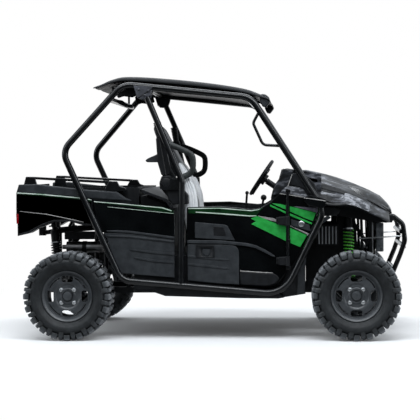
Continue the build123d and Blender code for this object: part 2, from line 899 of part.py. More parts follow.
# thickness over each of the last three fender sections
LAMP_THICKNESS = (4, 24, 18)
with BuildPart() as lamps:
    for side, hand in SIDES:
        rows = []
        for thickness, section in zip(LAMP_THICKNESS, FENDER[-3:]):
            x, in_z, shoulder_y, shoulder_z = section[:4]
            base = []
            for share in (lamp_inner_share, lamp_outer_share):
                y = fender_inner_y + share * (shoulder_y - fender_inner_y)
                base.append((side * y, in_z + share * (shoulder_z - in_z)))
            rows.append((x, base + [(y, z + thickness) for y, z in reversed(base)]))
        cross_sections(rows)
save(lamps.part, "headlamps")

# X, crown Z, edge Z, half width
HOOD = (
    (fore(-374), 1282, 1240, hood_half_width),
    (fore(-216), 1247, 1200, hood_half_width),
    (fore(-1), 1175, 1130, hood_half_width),
    (fore(117), 1124, 1083, hood_half_width - 4),
    (fore(205), 1077, 1038, hood_half_width - 10),
    (fore(259), 1022, 995, hood_half_width - 18),
    (fore(286), 985, 965, hood_half_width - 25),
)
hood_sheet = 14
hood_crown_share = 0.62
hood_hinge_x = HOOD[-1][0]
hood_hinge_z = 945
small_pin_radius = 5
small_lug_radius = 9
small_lug_half = 20
small_eye_half = 5
hood_lug_y = 260
hood_lug_rise = 20
with BuildPart() as hood:
    rows = []
    for x, crown_z, edge_z, half in HOOD:
        crown_y = half * hood_crown_share
        upper = ((-half, edge_z), (-crown_y, crown_z), (crown_y, crown_z), (half, edge_z))
        rows.append((x, list(upper) + [(y, z - hood_sheet) for y, z in reversed(upper)]))
    cross_sections(rows)
    for side, hand in SIDES:
        cross_rod(hood_hinge_x, hood_hinge_z, small_lug_radius, small_lug_half, side * hood_lug_y)
        block(
            (hood_hinge_x - small_lug_radius, side * hood_lug_y - small_lug_half, hood_hinge_z),
            (hood_hinge_x - weld_sink, side * hood_lug_y + small_lug_half, hood_hinge_z + hood_lug_rise),
        )
    bore = small_pin_radius + pin_gap
    cross_rod(hood_hinge_x, hood_hinge_z, bore, hood_half_width, mode=Mode.SUBTRACT)
save(hood.part, "hood")


def eye_pair(x, z, middle_y, foot_low, foot_high):
    """Adds a hinge pin with its two eyes, each eye on a foot between two corners in X and Z."""
    inner = small_lug_half + 1
    cross_rod(x, z, small_pin_radius, inner + 2 * small_eye_half, middle_y)
    for step in (-1, 1):
        eye_y = middle_y + step * (inner + small_eye_half)
        cross_rod(x, z, small_lug_radius - weld_sink, small_eye_half, eye_y)
        block(
            (foot_low[0], eye_y - small_eye_half, foot_low[1]),
            (foot_high[0], eye_y + small_eye_half, foot_high[1]),
        )


fascia_top_z = hood_hinge_z - small_lug_radius - moving_gap
fascia_half_width = fender_inner_y - moving_gap
FASCIA = (
    (fore(240), fascia_top_z),
    (fore(298), fascia_top_z),
    (fore(308), 905),
    (fore(286), 872),
    (fore(240), 872),
)
with BuildPart() as fascia:
    cross_plate(FASCIA, fascia_half_width)
    for side, hand in SIDES:
        eye_pair(
            hood_hinge_x,
            hood_hinge_z,
            side * hood_lug_y,
            (hood_hinge_x - small_lug_radius + weld_sink, fascia_top_z - weld_sink),
            (hood_hinge_x + small_lug_radius - weld_sink, hood_hinge_z),
        )
save(fascia.part, "front_fascia")

upright_spread = 150
upright_diameter = 36
radiator_rear_x = fore(upright_spread) + upright_diameter / 2 + 2
radiator_depth = 60
radiator_half_width = 290
radiator_low_z = 640
radiator_high_z = 866
with BuildPart() as radiator:
    block(
        (radiator_rear_x, -radiator_half_width, radiator_low_z),
        (radiator_rear_x + radiator_depth, radiator_half_width, radiator_high_z),
    )
save(radiator.part, "radiator")

COOLER_X = (fore(-296), fore(-121))
COOLER_Y = (330, 400)
COOLER_Z = (700, 852)
with BuildPart() as cooler:
    side_block(-1, COOLER_X, COOLER_Y, COOLER_Z)
save(cooler.part, "side_cooler")

# ---------------------------------------------------------------- front bumper
bumper_foot_sink = 12
# X, Z from the fascia down to the frame
BUMPER = (
    (fore(264), 926),
    (fore(306), 916),
    (fore(376), 858),
    (fore(392), 730),
    (fore(354), 620),
    (frame_front_x - rail_size / 2, rail_top - bumper_foot_sink),
)
bumper_bends = (20, 60, 90, 90)
# X, Z of each cross tube
BUMPER_BARS = ((fore(364), 800), (fore(377), 690), (fore(308), 508))
winch_plate_half_width = 120
winch_plate_low_z = 655
winch_plate_high_z = 800
winch_plate_front_x = fore(414)
winch_plate_thickness = 12
winch_foot_half_width = 80
winch_foot_half_height = 8
bumper_bar_diameter = bumper_diameter - 4
fairlead_spacing = 152.4
fairlead_hole_radius = 5.25
fairlead_z = 728
with BuildPart() as bumper:
    for side, hand in SIDES:
        tube([(x, side * bumper_y, z) for x, z in BUMPER], bumper_bends, bumper_diameter)
    for x, z in BUMPER_BARS:
        tube([(x, -bumper_y, z), (x, bumper_y, z)], 0, bumper_bar_diameter)
    plate_back_x = winch_plate_front_x - winch_plate_thickness
    block(
        (plate_back_x, -winch_plate_half_width, winch_plate_low_z),
        (winch_plate_front_x, winch_plate_half_width, winch_plate_high_z),
    )
    for x, z in BUMPER_BARS[:2]:
        block(
            (x, -winch_foot_half_width, z - winch_foot_half_height),
            (plate_back_x + weld_sink, winch_foot_half_width, z + winch_foot_half_height),
        )
    for step in (-1, 1):
        with Locations(Location((plate_back_x, step * fairlead_spacing / 2, fairlead_z), (0, 90, 0))):
            Cylinder(fairlead_hole_radius, 4 * winch_plate_thickness, mode=Mode.SUBTRACT)
save(bumper.part, "front_bumper")

# ---------------------------------------------------------------- cargo bed
bed_rear_x = aft(-377)
bed_front_x = aft(536)
bed_floor_z = 945
bed_top_z = 1160
bed_wall = 14
bed_side_y = skin_y - 15
bed_wing = 115
bed_half_width = bed_side_y - bed_wing
bed_hinge_x = aft(-273)
bed_hinge_z = 800
bed_pin_radius = 12
bed_ear_y = 300
bed_ear_half = 20
bed_ear_reach = 26
bed_ear_drop = 20
tailgate_hinge_x = aft(-386)
tailgate_hinge_z = bed_floor_z - 4
tailgate_lug_y = 400
tailgate_foot_length = 20
tailgate_rear_x = tailgate_hinge_x - small_lug_radius
tailgate_thickness = 12
with BuildPart() as bed:
    block(
        (bed_rear_x, -bed_half_width, bed_floor_z),
        (bed_front_x, bed_half_width, bed_top_z),
    )
    block(
        (bed_rear_x - 1, -bed_half_width + bed_wall, bed_floor_z + bed_wall),
        (bed_front_x - bed_wall, bed_half_width - bed_wall, bed_top_z + 1),
        Mode.SUBTRACT,
    )
    for side, hand in SIDES:
        side_block(
            side,
            (bed_hinge_x - bed_ear_reach, bed_hinge_x + bed_ear_reach),
            (bed_ear_y - bed_ear_half, bed_ear_y + bed_ear_half),
            (bed_hinge_z - bed_ear_drop, bed_floor_z + weld_sink),
        )
        eye_pair(
            tailgate_hinge_x,
            tailgate_hinge_z,
            side * tailgate_lug_y,
            (tailgate_hinge_x, tailgate_hinge_z - small_lug_radius + weld_sink),
            (bed_rear_x + tailgate_foot_length, bed_floor_z + weld_sink),
        )
    cross_rod(bed_hinge_x, bed_hinge_z, bed_pin_radius + pin_gap, bed_half_width, mode=Mode.SUBTRACT)
save(bed.part, "cargo_bed")

# X, Z outline of the painted side, clockwise from the upper rear corner
BED_SIDE = (
    (aft(-375), 1188),
    (aft(101), 1140),
    (aft(187), 1068),
    (aft(205), 872),
    (aft(134), 872),
    (aft(21), 905),
    (aft(-110), 902),
    (aft(-246), 848),
    (aft(-302), 815),
    (aft(-387), 796),
    (aft(-387), 1124),
)
# X, Z of the flat top beside the bed and of the inner wheel arch
WING_DECK = ((aft(-375), 1150), (aft(101), 1125), (aft(176), 1110))
WHEEL_ARCH = (
    (aft(-387), 820),
    (aft(-302), 827),
    (aft(-246), 860),
    (aft(-110), 914),
    (aft(21), 917),
    (aft(134), 884),
    (aft(205), 884),
)
bed_skin = 15
wing_sheet = 12
arch_reach = 60
with BuildPart() as bed_sides:
    side_plates(BED_SIDE, bed_side_y - bed_skin, bed_side_y)
    inner_face = bed_side_y - bed_skin + weld_sink
    side_plates(strip(WING_DECK, wing_sheet), bed_half_width, inner_face)
    side_plates(strip(WHEEL_ARCH, wing_sheet), bed_half_width - arch_reach, inner_face)
save(bed_sides.part, "bed_sides")

rail_offset = 25
cargo_rail_diameter = 26
cargo_rail_y = bed_half_width + rail_offset
# X, Z of the tie-down rail beside the bed, rear foot to front foot
CARGO_RAIL = (
    (aft(-345), height_on(WING_DECK, aft(-345))),
    (aft(-327), 1244),
    (aft(311), 1206),
    (aft(389), 1120),
)
cargo_rail_bends = (40, 50)
rail_foot_half = 30
rail_foot_rise = 12
with BuildPart() as rails:
    for side, hand in SIDES:
        line = [(x, side * cargo_rail_y, z) for x, z in CARGO_RAIL]
        tube(line, cargo_rail_bends, cargo_rail_diameter)
        foot_x, foot_z = CARGO_RAIL[-1]
        y_range = (bed_half_width, cargo_rail_y + cargo_rail_diameter / 2)
        x_range = (foot_x - rail_foot_half, foot_x + rail_foot_half)
        side_block(side, x_range, y_range, (foot_z - rail_foot_half, foot_z + rail_foot_rise))
save(rails.part, "bed_rails")

tail_lamp_depth = 12
tail_lamp_rear_x = aft(-399)
tail_lamp_inset = 10
tail_lamp_width = 80
TAIL_LAMP_Z = (918, 988)
with BuildPart() as tail_lamps:
    lamp_x = (tail_lamp_rear_x, tail_lamp_rear_x + tail_lamp_depth)
    for side, hand in SIDES:
        lamp_outer_y = bed_side_y - tail_lamp_inset
        side_block(side, lamp_x, (lamp_outer_y - tail_lamp_width, lamp_outer_y), TAIL_LAMP_Z)
save(tail_lamps.part, "tail_lamps")

tailgate_top_z = 1180
tailgate_side_gap = 30
tailgate_half_width = bed_half_width - tailgate_side_gap
tailgate_low_z = tailgate_hinge_z + small_lug_radius + 1
with BuildPart() as tailgate:
    tailgate_x = (tailgate_rear_x, tailgate_rear_x + tailgate_thickness)
    block(
        (tailgate_x[0], -tailgate_half_width, tailgate_low_z),
        (tailgate_x[1], tailgate_half_width, tailgate_top_z),
    )
    for side, hand in SIDES:
        lug_y = side * tailgate_lug_y
        cross_rod(tailgate_hinge_x, tailgate_hinge_z, small_lug_radius, small_lug_half, lug_y)
        side_block(
            side,
            (tailgate_x[0], tailgate_hinge_x),
            (tailgate_lug_y - small_lug_half, tailgate_lug_y + small_lug_half),
            (tailgate_hinge_z, tailgate_low_z + weld_sink),
        )
    bore = small_pin_radius + pin_gap
    cross_rod(tailgate_hinge_x, tailgate_hinge_z, bore, bed_half_width, mode=Mode.SUBTRACT)
save(tailgate.part, "tailgate")

# ---------------------------------------------------------------- rear and front sub-frames
bed_pin_overhang = 25
bed_rest_x = aft(461)
bed_rest_z = 860
mid_upright_x = aft(401)
REAR_LINE = ((bed_hinge_x, bed_hinge_z), (bed_rest_x, bed_rest_z))
# top X, top |Y|, top Z, foot X, foot |Y|
FRONT_SHOCK = (fore(-52), 380, 985, fore(-36), 470)
REAR_SHOCK = (aft(-161), 400, 860, aft(-99), 440)
tower_diameter = 30
sub_frame_cross_z = 620
with BuildPart() as rear_frame:
    for side, hand in SIDES:
        y = side * rail_y
        tube([(x, y, z) for x, z in REAR_LINE], 0, upright_diameter)
        for x in (aft(-upright_spread), aft(upright_spread), mid_upright_x):
            tube([(x, y, rail_top), (x, y, height_on(REAR_LINE, x))], 0, upright_diameter)
        top_x, top_y, top_z = REAR_SHOCK[:3]
        tube([(top_x, y, height_on(REAR_LINE, top_x)), (top_x, side * top_y, top_z)], 0, tower_diameter)
    cross_rod(bed_hinge_x, bed_hinge_z, bed_pin_radius, bed_ear_y + bed_ear_half + bed_pin_overhang)
    cross_rod(mid_upright_x, sub_frame_cross_z, tower_diameter / 2, rail_y)
save(rear_frame.part, "rear_frame")

FRONT_LINE = ((fore(upright_spread), 915), (fore(-366), 1000))
with BuildPart() as front_frame:
    for side, hand in SIDES:
        y = side * rail_y
        tube([(x, y, z) for x, z in FRONT_LINE], 0, upright_diameter)
        for x in (fore(upright_spread), fore(-upright_spread)):
            tube([(x, y, rail_top), (x, y, height_on(FRONT_LINE, x))], 0, upright_diameter)
        top_x, top_y, top_z = FRONT_SHOCK[:3]
        tube([(top_x, y, height_on(FRONT_LINE, top_x)), (top_x, side * top_y, top_z)], 0, tower_diameter)
    for x in (fore(upright_spread), fore(-upright_spread)):
        cross_rod(x, sub_frame_cross_z, tower_diameter / 2, rail_y)
save(front_frame.part, "front_frame")

receiver_outer = 64
receiver_inner = 51
receiver_rear_x = rear_axle_x - tyre_radius - 56
receiver_depth_left = 10
hitch_pin_radius = 8
hitch_pin_x = receiver_rear_x + 30
receiver_z = rail_top - receiver_outer / 2
with BuildPart() as hitch:
    block(
        (receiver_rear_x, -receiver_outer / 2, rail_top - receiver_outer),
        (frame_rear_x, receiver_outer / 2, rail_top),
    )
    block(
        (receiver_rear_x - 1, -receiver_inner / 2, receiver_z - receiver_inner / 2),
        (frame_rear_x - receiver_depth_left, receiver_inner / 2, receiver_z + receiver_inner / 2),
        Mode.SUBTRACT,
    )
    cross_rod(hitch_pin_x, receiver_z, hitch_pin_radius, receiver_outer, mode=Mode.SUBTRACT)
save(hitch.part, "hitch_receiver")

# ---------------------------------------------------------------- driveline and suspension
gearbox_half = 110
gearbox_height = 106
gearbox_behind = 40  # the axle
gearbox_ahead = 110
half_shaft_diameter = 25
shaft_start_z = rail_top + 56
shaft_bend_z = rail_top + 36
shaft_bend = 60
shaft_run_out = 10
steered_shaft_gap = 38
fixed_shaft_gap = 8
# axle X, gap between the shaft and the carrier
SHAFTS = ((front_axle_x, steered_shaft_gap), (rear_axle_x, fixed_shaft_gap))
with BuildPart() as driveline:
    for axle_x, end_gap in SHAFTS:
        block(
            (axle_x - gearbox_behind, -gearbox_half, rail_top),
            (axle_x + gearbox_ahead, gearbox_half, rail_top + gearbox_height),
        )
        for side, hand in SIDES:
            route = (
                (axle_x, side * (gearbox_half - shaft_run_out), shaft_start_z),
                (axle_x, side * (rail_outer_y + shaft_run_out), shaft_bend_z),
                (axle_x, side * (knuckle_inner_y - end_gap), axle_z),
            )
            tube(route, shaft_bend, half_shaft_diameter)
save(driveline.part, "driveline")

arm_diameter = 26
arm_inner_y = rail_outer_y + 12
# rise of the outer ball above the axle, Z of the inner pivots
LOWER_ARM = (-ball_joint_rise, rail_bottom + 21)
UPPER_ARM = (ball_joint_rise, rail_top + 106)
shock_foot_half_height = 17
shock_foot_half_length = 20
shock_foot_half_width = 18
# axle X, shock foot X, shock foot |Y|
ARM_SETS = ((front_axle_x, *FRONT_SHOCK[3:]), (rear_axle_x, *REAR_SHOCK[3:]))


def shock_foot_z(foot_y):
    """The height of the lower arm's axis at a distance from the centre plane."""
    rise, inner_z = LOWER_ARM
    return height_on(((arm_inner_y, inner_z), (kingpin_y, axle_z + rise)), foot_y)


with BuildPart() as arms:
    for axle_x, foot_x, foot_y in ARM_SETS:
        for side, hand in SIDES:
            for rise, inner_z in (LOWER_ARM, UPPER_ARM):
                ball = (axle_x, side * kingpin_y, axle_z + rise)
                for step in (-1, 1):
                    pivot = (axle_x + step * upright_spread, side * arm_inner_y, inner_z)
                    tube([pivot, ball], 0, arm_diameter)
                with Locations(ball):
                    Sphere(ball_radius)
            foot_z = shock_foot_z(foot_y)
            spread = upright_spread * (kingpin_y - foot_y) / (kingpin_y - arm_inner_y)
            side_block(
                side,
                (
                    min(axle_x - spread, foot_x - shock_foot_half_length),
                    max(axle_x + spread, foot_x + shock_foot_half_length),
                ),
                (foot_y - shock_foot_half_width, foot_y + shock_foot_half_width),
                (foot_z - shock_foot_half_height, foot_z + shock_foot_half_height),
            )
save(arms.part, "suspension_arms")

shock_rod_diameter = 24
spring_diameter = 74
spring_low_share = 0.18
spring_high_share = 0.78
with BuildPart() as shocks:
    for top_x, top_y, top_z, foot_x, foot_y in (FRONT_SHOCK, REAR_SHOCK):
        for side, hand in SIDES:
            top = Vector(top_x, side * top_y, top_z)
            foot = Vector(foot_x, side * foot_y, shock_foot_z(foot_y))
            along = top - foot
            tube([foot, top], 0, shock_rod_diameter)
            spring_ends = [foot + along * spring_low_share, foot + along * spring_high_share]
            tube(spring_ends, 0, spring_diameter)
save(shocks.part, "shock_absorbers")

muffler_radius = 43
muffler_length = 285
muffler_x = aft(88)
muffler_y = 430
muffler_z = 695
tail_pipe_radius = 17
tail_pipe_length = 70
with BuildPart() as muffler:
    with Locations(Location((muffler_x, -muffler_y, muffler_z), (0, 90, 0))):
        Cylinder(muffler_radius, muffler_length)
    with Locations(Location((muffler_x - muffler_length / 2, -muffler_y, muffler_z), (0, 90, 0))):
        Cylinder(tail_pipe_radius, tail_pipe_length)
save(muffler.part, "muffler")

AIR_BOX_X = (aft(-65), aft(169))
AIR_BOX_Y = (370, 475)
AIR_BOX_Z = (757, 814)
with BuildPart() as air_box:
    side_block(-1, AIR_BOX_X, AIR_BOX_Y, AIR_BOX_Z)
save(air_box.part, "air_box")
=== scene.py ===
from math import cos, pi, radians, sin, tau

import bpy
from mathutils import Matrix, Vector


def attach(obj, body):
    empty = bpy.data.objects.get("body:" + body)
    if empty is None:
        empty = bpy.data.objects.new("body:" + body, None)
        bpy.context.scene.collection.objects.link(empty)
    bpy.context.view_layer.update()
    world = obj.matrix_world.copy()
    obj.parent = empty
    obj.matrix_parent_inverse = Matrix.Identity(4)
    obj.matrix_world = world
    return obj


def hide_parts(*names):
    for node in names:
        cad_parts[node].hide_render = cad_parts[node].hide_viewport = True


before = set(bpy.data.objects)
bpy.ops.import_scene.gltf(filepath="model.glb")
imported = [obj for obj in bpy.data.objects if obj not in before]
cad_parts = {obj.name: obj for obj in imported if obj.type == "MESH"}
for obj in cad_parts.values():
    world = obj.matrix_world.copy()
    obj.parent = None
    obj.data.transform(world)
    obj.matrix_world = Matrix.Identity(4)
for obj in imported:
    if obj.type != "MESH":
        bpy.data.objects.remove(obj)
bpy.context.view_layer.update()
MM = 0.001

# ---------------------------------------------------------------- studio
# A white sweep seen through a long lens from the passenger's side, a little above the hood.
# The sky is bright overhead and dimmer low down, as soft boxes over a dark room are.
LENS_MM = 109.5
CAMERA_PLACE = (0.694, -10.317, 1.314)
CAMERA_YAW, CAMERA_PITCH, CAMERA_ROLL = radians(4.19), radians(1.94), radians(-0.487)
SKY_TINT = (0.90, 0.95, 1.0, 1)
LAMP_TINT = (0.93, 0.96, 1.0)
# name: place, length, width, watts, aimed at
LAMPS = {
    "key_strip": ((0.6, -3.6, 4.6), 5.0, 0.7, 120, (0.0, -0.3, 0.9)),
    "top_strip": ((-0.2, 0.8, 5.2), 5.0, 0.9, 130, (0.0, 0.0, 1.0)),
}
FLOOR_SIZE = 60


def colour(code):
    """An sRGB hex value as the linear colour that a shader takes."""
    channels = [int(code[i : i + 2], 16) / 255 for i in (1, 3, 5)]
    return (*[c / 12.92 if c <= 0.04045 else ((c + 0.055) / 1.055) ** 2.4 for c in channels], 1)


def add_node(tree, kind, values=(), links=(), **settings):
    """Adds a node, sets its properties and input values, and links inputs to other outputs."""
    made = tree.nodes.new(kind)
    for key, value in settings.items():
        setattr(made, key, value)
    for key, value in dict(values).items():
        made.inputs[key].default_value = value
    for key, source in dict(links).items():
        tree.links.new(source, made.inputs[key])
    return made


def set_tones(ramp, tones):
    """Gives a colour ramp its stops, as (place, hex colour)."""
    stops = ramp.color_ramp.elements
    while len(stops) < len(tones):
        stops.new(0.5)
    for stop, (place, code) in zip(stops, tones):
        stop.position = place
        stop.color = colour(code)


def share_in_view(tree, rays, near):
    """1 to the camera's own rays, the near share to what mirrors and clear pieces show, else 0."""
    mirrored = add_node(
        tree, "ShaderNodeMath",
        links={0: rays.outputs["Is Glossy Ray"], 1: rays.outputs["Is Transmission Ray"]},
        operation="ADD", use_clamp=True,
    )
    shown = add_node(
        tree, "ShaderNodeMath",
        links={
            0: mirrored.outputs["Value"], 1: near.outputs["Result"],
            2: rays.outputs["Is Camera Ray"],
        },
        operation="MULTIPLY_ADD", use_clamp=True,
    )
    return shown.outputs["Value"]


scene = bpy.context.scene
scene.view_settings.view_transform = "Standard"
camera_data = bpy.data.cameras.new("camera")
camera_data.sensor_width = 36
camera_data.lens = LENS_MM
camera_data.clip_end = 100
camera = bpy.data.objects.new("camera", camera_data)
scene.collection.objects.link(camera)
camera.matrix_world = (
    Matrix.Translation(CAMERA_PLACE)
    @ Matrix.Rotation(CAMERA_YAW, 4, "Z")
    @ Matrix.Rotation(pi / 2 - CAMERA_PITCH, 4, "X")
    @ Matrix.Rotation(CAMERA_ROLL, 4, "Z")
)
scene.camera = camera

world = bpy.data.worlds.new("studio")
scene.world = world
world.use_nodes = True
sky = world.node_tree
sky.nodes.clear()
direction = add_node(sky, "ShaderNodeTexCoord")
ray_to = add_node(sky, "ShaderNodeSeparateXYZ", links={"Vector": direction.outputs["Generated"]})
dome = add_node(
    sky, "ShaderNodeMapRange",
    {"From Min": 0.0, "From Max": 0.7, "To Min": 0.08, "To Max": 0.75},
    {"Value": ray_to.outputs["Z"]},
)
# A hoop of strip lights round the camera's axis, which every tube reflects as a thin line.
toward = add_node(sky, "ShaderNodeMath", {1: -1.0}, {0: ray_to.outputs["Y"]}, operation="MULTIPLY")
hoop = add_node(sky, "ShaderNodeValToRGB", links={"Fac": toward.outputs["Value"]})
set_tones(hoop, ((0.34, "#000000"), (0.38, "#ffffff"), (0.45, "#ffffff"), (0.49, "#000000")))
above = add_node(
    sky, "ShaderNodeMapRange",
    {"From Min": -0.05, "From Max": 0.15, "To Min": 0.0, "To Max": 8.0},
    {"Value": ray_to.outputs["Z"]},
)
lit_hoop = add_node(
    sky, "ShaderNodeMath",
    links={0: hoop.outputs["Color"], 1: above.outputs["Result"], 2: dome.outputs["Result"]},
    operation="MULTIPLY_ADD",
)
cove = add_node(
    sky, "ShaderNodeMapRange", {"From Min": -0.1, "From Max": 0.3}, {"Value": ray_to.outputs["Y"]}
)
rays = add_node(sky, "ShaderNodeLightPath")
level = add_node(
    sky, "ShaderNodeMix", {"B": 1.0},
    {"Factor": share_in_view(sky, rays, cove), "A": lit_hoop.outputs["Value"]},
)
tint = add_node(
    sky, "ShaderNodeMix", {"A": SKY_TINT, "B": (1, 1, 1, 1)},
    {"Factor": rays.outputs["Is Camera Ray"]}, data_type="RGBA",
)
glow = add_node(
    sky, "ShaderNodeBackground",
    links={"Color": tint.outputs["Result"], "Strength": level.outputs["Result"]},
)
add_node(sky, "ShaderNodeOutputWorld", links={"Surface": glow.outputs["Background"]})

for name, (place, size, width, power, target) in LAMPS.items():
    lamp_data = bpy.data.lights.new(name, "AREA")
    lamp_data.shape = "RECTANGLE"
    lamp_data.size = size
    lamp_data.size_y = width
    lamp_data.energy = power
    lamp_data.color = LAMP_TINT
    lamp = bpy.data.objects.new(name, lamp_data)
    scene.collection.objects.link(lamp)
    lamp.location = place
    aim = Vector(target) - Vector(place)
    lamp.rotation_euler = aim.to_track_quat("-Z", "Y").to_euler()


def deselect():
    """Leaves nothing selected, so that the next operator acts on the new piece alone."""
    bpy.ops.object.select_all(action="DESELECT")


deselect()
bpy.ops.mesh.primitive_plane_add(size=FLOOR_SIZE, location=(0, 0, 0))
floor = bpy.context.object
floor.name = "studio_floor"
# Matt white paint near the vehicle, where it takes the shadow; further off, an even glow.
floor_paint = bpy.data.materials.new("white sweep")
floor_paint.use_nodes = True
sweep = floor_paint.node_tree
sweep.nodes.clear()
spot = add_node(sweep, "ShaderNodeTexCoord")
floor_place = add_node(sweep, "ShaderNodeSeparateXYZ", links={"Vector": spot.outputs["Object"]})
behind = add_node(
    sweep, "ShaderNodeMapRange", {"From Min": -0.9, "From Max": 0.6},
    {"Value": floor_place.outputs["Y"]},
)
seen = share_in_view(sweep, add_node(sweep, "ShaderNodeLightPath"), behind)
paint = add_node(
    sweep, "ShaderNodeMix", {"A": colour("#a8a8a8"), "B": colour("#ececec")}, {"Factor": seen},
    data_type="RGBA",
)
matt = add_node(sweep, "ShaderNodeBsdfDiffuse", links={"Color": paint.outputs["Result"]})
lift = add_node(sweep, "ShaderNodeEmission", {"Color": (1, 1, 1, 1)}, {"Strength": seen})
reach = add_node(
    sweep, "ShaderNodeVectorMath", {1: (0, 0, 0)}, {0: spot.outputs["Object"]}, operation="DISTANCE"
)
fade = add_node(
    sweep, "ShaderNodeMapRange",
    {"From Min": 1.3, "From Max": 4.0, "To Min": 0.05, "To Max": 1.0},
    {"Value": reach.outputs["Value"]}, interpolation_type="SMOOTHSTEP",
)
veil = add_node(
    sweep, "ShaderNodeMixShader",
    links={"Fac": fade.outputs["Result"], 1: matt.outputs[0], 2: lift.outputs[0]},
)
add_node(sweep, "ShaderNodeOutputMaterial", links={"Surface": veil.outputs[0]})
floor.data.materials.append(floor_paint)


# ---------------------------------------------------------------- finishes of the bare frame
# Tubes and plates are mild steel, welded and bolted, and powder coated black. The coat is thick
# and slightly rippled, so highlights are soft-edged; hidden parts get a flatter coat.


def new_finish(name, base, metallic=0.0, roughness=0.5, **sockets):
    """A Principled material; returns it with its shader and node tree."""
    material = bpy.data.materials.new(name)
    material.use_nodes = True
    shader = material.node_tree.nodes["Principled BSDF"]
    shader.inputs["Base Color"].default_value = colour(base)
    shader.inputs["Metallic"].default_value = metallic
    shader.inputs["Roughness"].default_value = roughness
    for key, value in sockets.items():
        shader.inputs[key.replace("_", " ")].default_value = value
    return material, shader, material.node_tree


def add_grain(tree, shader, size_mm, depth_mm, detail=3.0):
    """Bumps a surface with noise whose grains are about size_mm across."""
    place = add_node(tree, "ShaderNodeTexCoord")
    noise = add_node(
        tree, "ShaderNodeTexNoise", {"Scale": 1 / (size_mm * MM), "Detail": detail},
        {"Vector": place.outputs["Object"]},
    )
    bump = add_node(
        tree, "ShaderNodeBump", {"Strength": 0.6, "Distance": depth_mm * MM},
        {"Height": noise.outputs["Fac"]},
    )
    tree.links.new(bump.outputs["Normal"], shader.inputs["Normal"])
    return place, noise


def add_mottle(tree, shader, place, size_mm, dark, light, low=0.35, high=0.65):
    """Varies the base colour between two hex values over patches about size_mm across."""
    patches = add_node(
        tree, "ShaderNodeTexNoise", {"Scale": 1 / (size_mm * MM), "Detail": 4.0, "Roughness": 0.6},
        {"Vector": place.outputs["Object"]},
    )
    share = add_node(
        tree, "ShaderNodeMapRange", {"From Min": low, "From Max": high},
        {"Value": patches.outputs["Fac"]},
    )
    blend = add_node(
        tree, "ShaderNodeMix", {"A": colour(dark), "B": colour(light)},
        {"Factor": share.outputs["Result"]}, data_type="RGBA",
    )
    tree.links.new(blend.outputs["Result"], shader.inputs["Base Color"])


def grained_finish(name, base, grain, mottle=(), **settings):
    """A material with a grain and, where given, a mottle, as add_grain and add_mottle take them."""
    material, shader, tree = new_finish(name, base, **settings)
    place, _ = add_grain(tree, shader, *grain)
    if mottle:
        add_mottle(tree, shader, place, *mottle)
    return material


powder_coat = grained_finish(
    "powder-coated steel tube", "#08090a", (3, 0.08), (90, "#060708", "#0e1012"), roughness=0.19,
    Specular_IOR_Level=0.5,
)

# A thin flat coat for what is hidden: near black, slightly patchy, with a faint broad sheen.
chassis_coat = grained_finish(
    "flat black chassis coat", "#121417", (2.5, 0.2), (60, "#0c0e10", "#1a1c1f"), roughness=0.5,
    Specular_IOR_Level=0.25,
)

# Sand casting leaves aluminium dull and pitted: a broad grey sheen with darker patches.
cast_alloy = grained_finish(
    "sand-cast aluminium", "#7d8185", (1.6, 0.5), (40, "#5a5e62", "#8f9498"), metallic=0.9,
    roughness=0.5,
)

BARE_FINISHES = {
    powder_coat: (
        "rops_side_right", "rops_side_left", "rops_crossbars", "shoulder_bar", "front_bumper",
        "pillar_brackets",
    ),
    chassis_coat: (
        "ladder_frame", "rear_frame", "front_frame", "hitch_receiver", "suspension_arms",
        "steering_rack", "air_box",
    ),
    cast_alloy: ("engine_block", "driveline", "rear_hub_carriers", "knuckle_right", "knuckle_left"),
}


def repaint(node, material):
    """Gives a CAD node a finish in all its slots."""
    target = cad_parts[node]
    if not target.material_slots:
        target.data.materials.append(material)
    for holder in target.material_slots:
        holder.material = material


for material, nodes in BARE_FINISHES.items():
    for node in nodes:
        repaint(node, material)


# ---------------------------------------------------------------- tyres
# Radial off-road tyres of black rubber, their beads seated on the rims. The carcass is moulded
# with rings on the sidewall, and the tread is blocks whose outer ends wrap over the shoulder.
AXLE_Z = 0.338
WHEEL_OUTER_Y = 0.7875
# body's name, axle X, side (-1 right), tyre width
WHEELS = (
    ("front_right", 1.086, -1, 0.230), ("front_left", 1.086, 1, 0.230),
    ("rear_right", -1.101, -1, 0.280), ("rear_left", -1.101, 1, 0.280),
)
LUG_PITCHES = 20
SPIN_STEPS = 72
MIRROR = Matrix.Scale(-1, 4, (0, 1, 0))
MERGE_REACH = 0.00005


def choose(piece):
    """Selects one piece alone and makes it active."""
    deselect()
    piece.select_set(True)
    bpy.context.view_layer.objects.active = piece


def edit(piece):
    """Selects one piece alone and opens all of its mesh for editing."""
    choose(piece)
    bpy.ops.object.mode_set(mode="EDIT")
    bpy.ops.mesh.select_all(action="SELECT")


def pick(piece, kind, wanted):
    """In edit mode, selects only the polygons or edges for which wanted is true."""
    bpy.ops.mesh.select_all(action="DESELECT")
    bpy.ops.object.mode_set(mode="OBJECT")
    for element in getattr(piece.data, kind):
        element.select = wanted(element)
    bpy.ops.object.mode_set(mode="EDIT")


def close_edit(angle=35):
    """Merges doubles, turns faces outwards, leaves edit mode and smooths below an angle."""
    bpy.ops.mesh.select_all(action="SELECT")
    bpy.ops.mesh.remove_doubles(threshold=MERGE_REACH)
    bpy.ops.mesh.normals_make_consistent(inside=False)
    bpy.ops.object.mode_set(mode="OBJECT")
    bpy.ops.object.shade_smooth_by_angle(angle=radians(angle))


def apply_modifier(piece, kind, **settings):
    """Adds a modifier, sets it and applies it."""
    choose(piece)
    made = piece.modifiers.new(kind.lower(), kind)
    for key, value in settings.items():
        setattr(made, key, value)
    bpy.ops.object.modifier_apply(modifier=made.name)


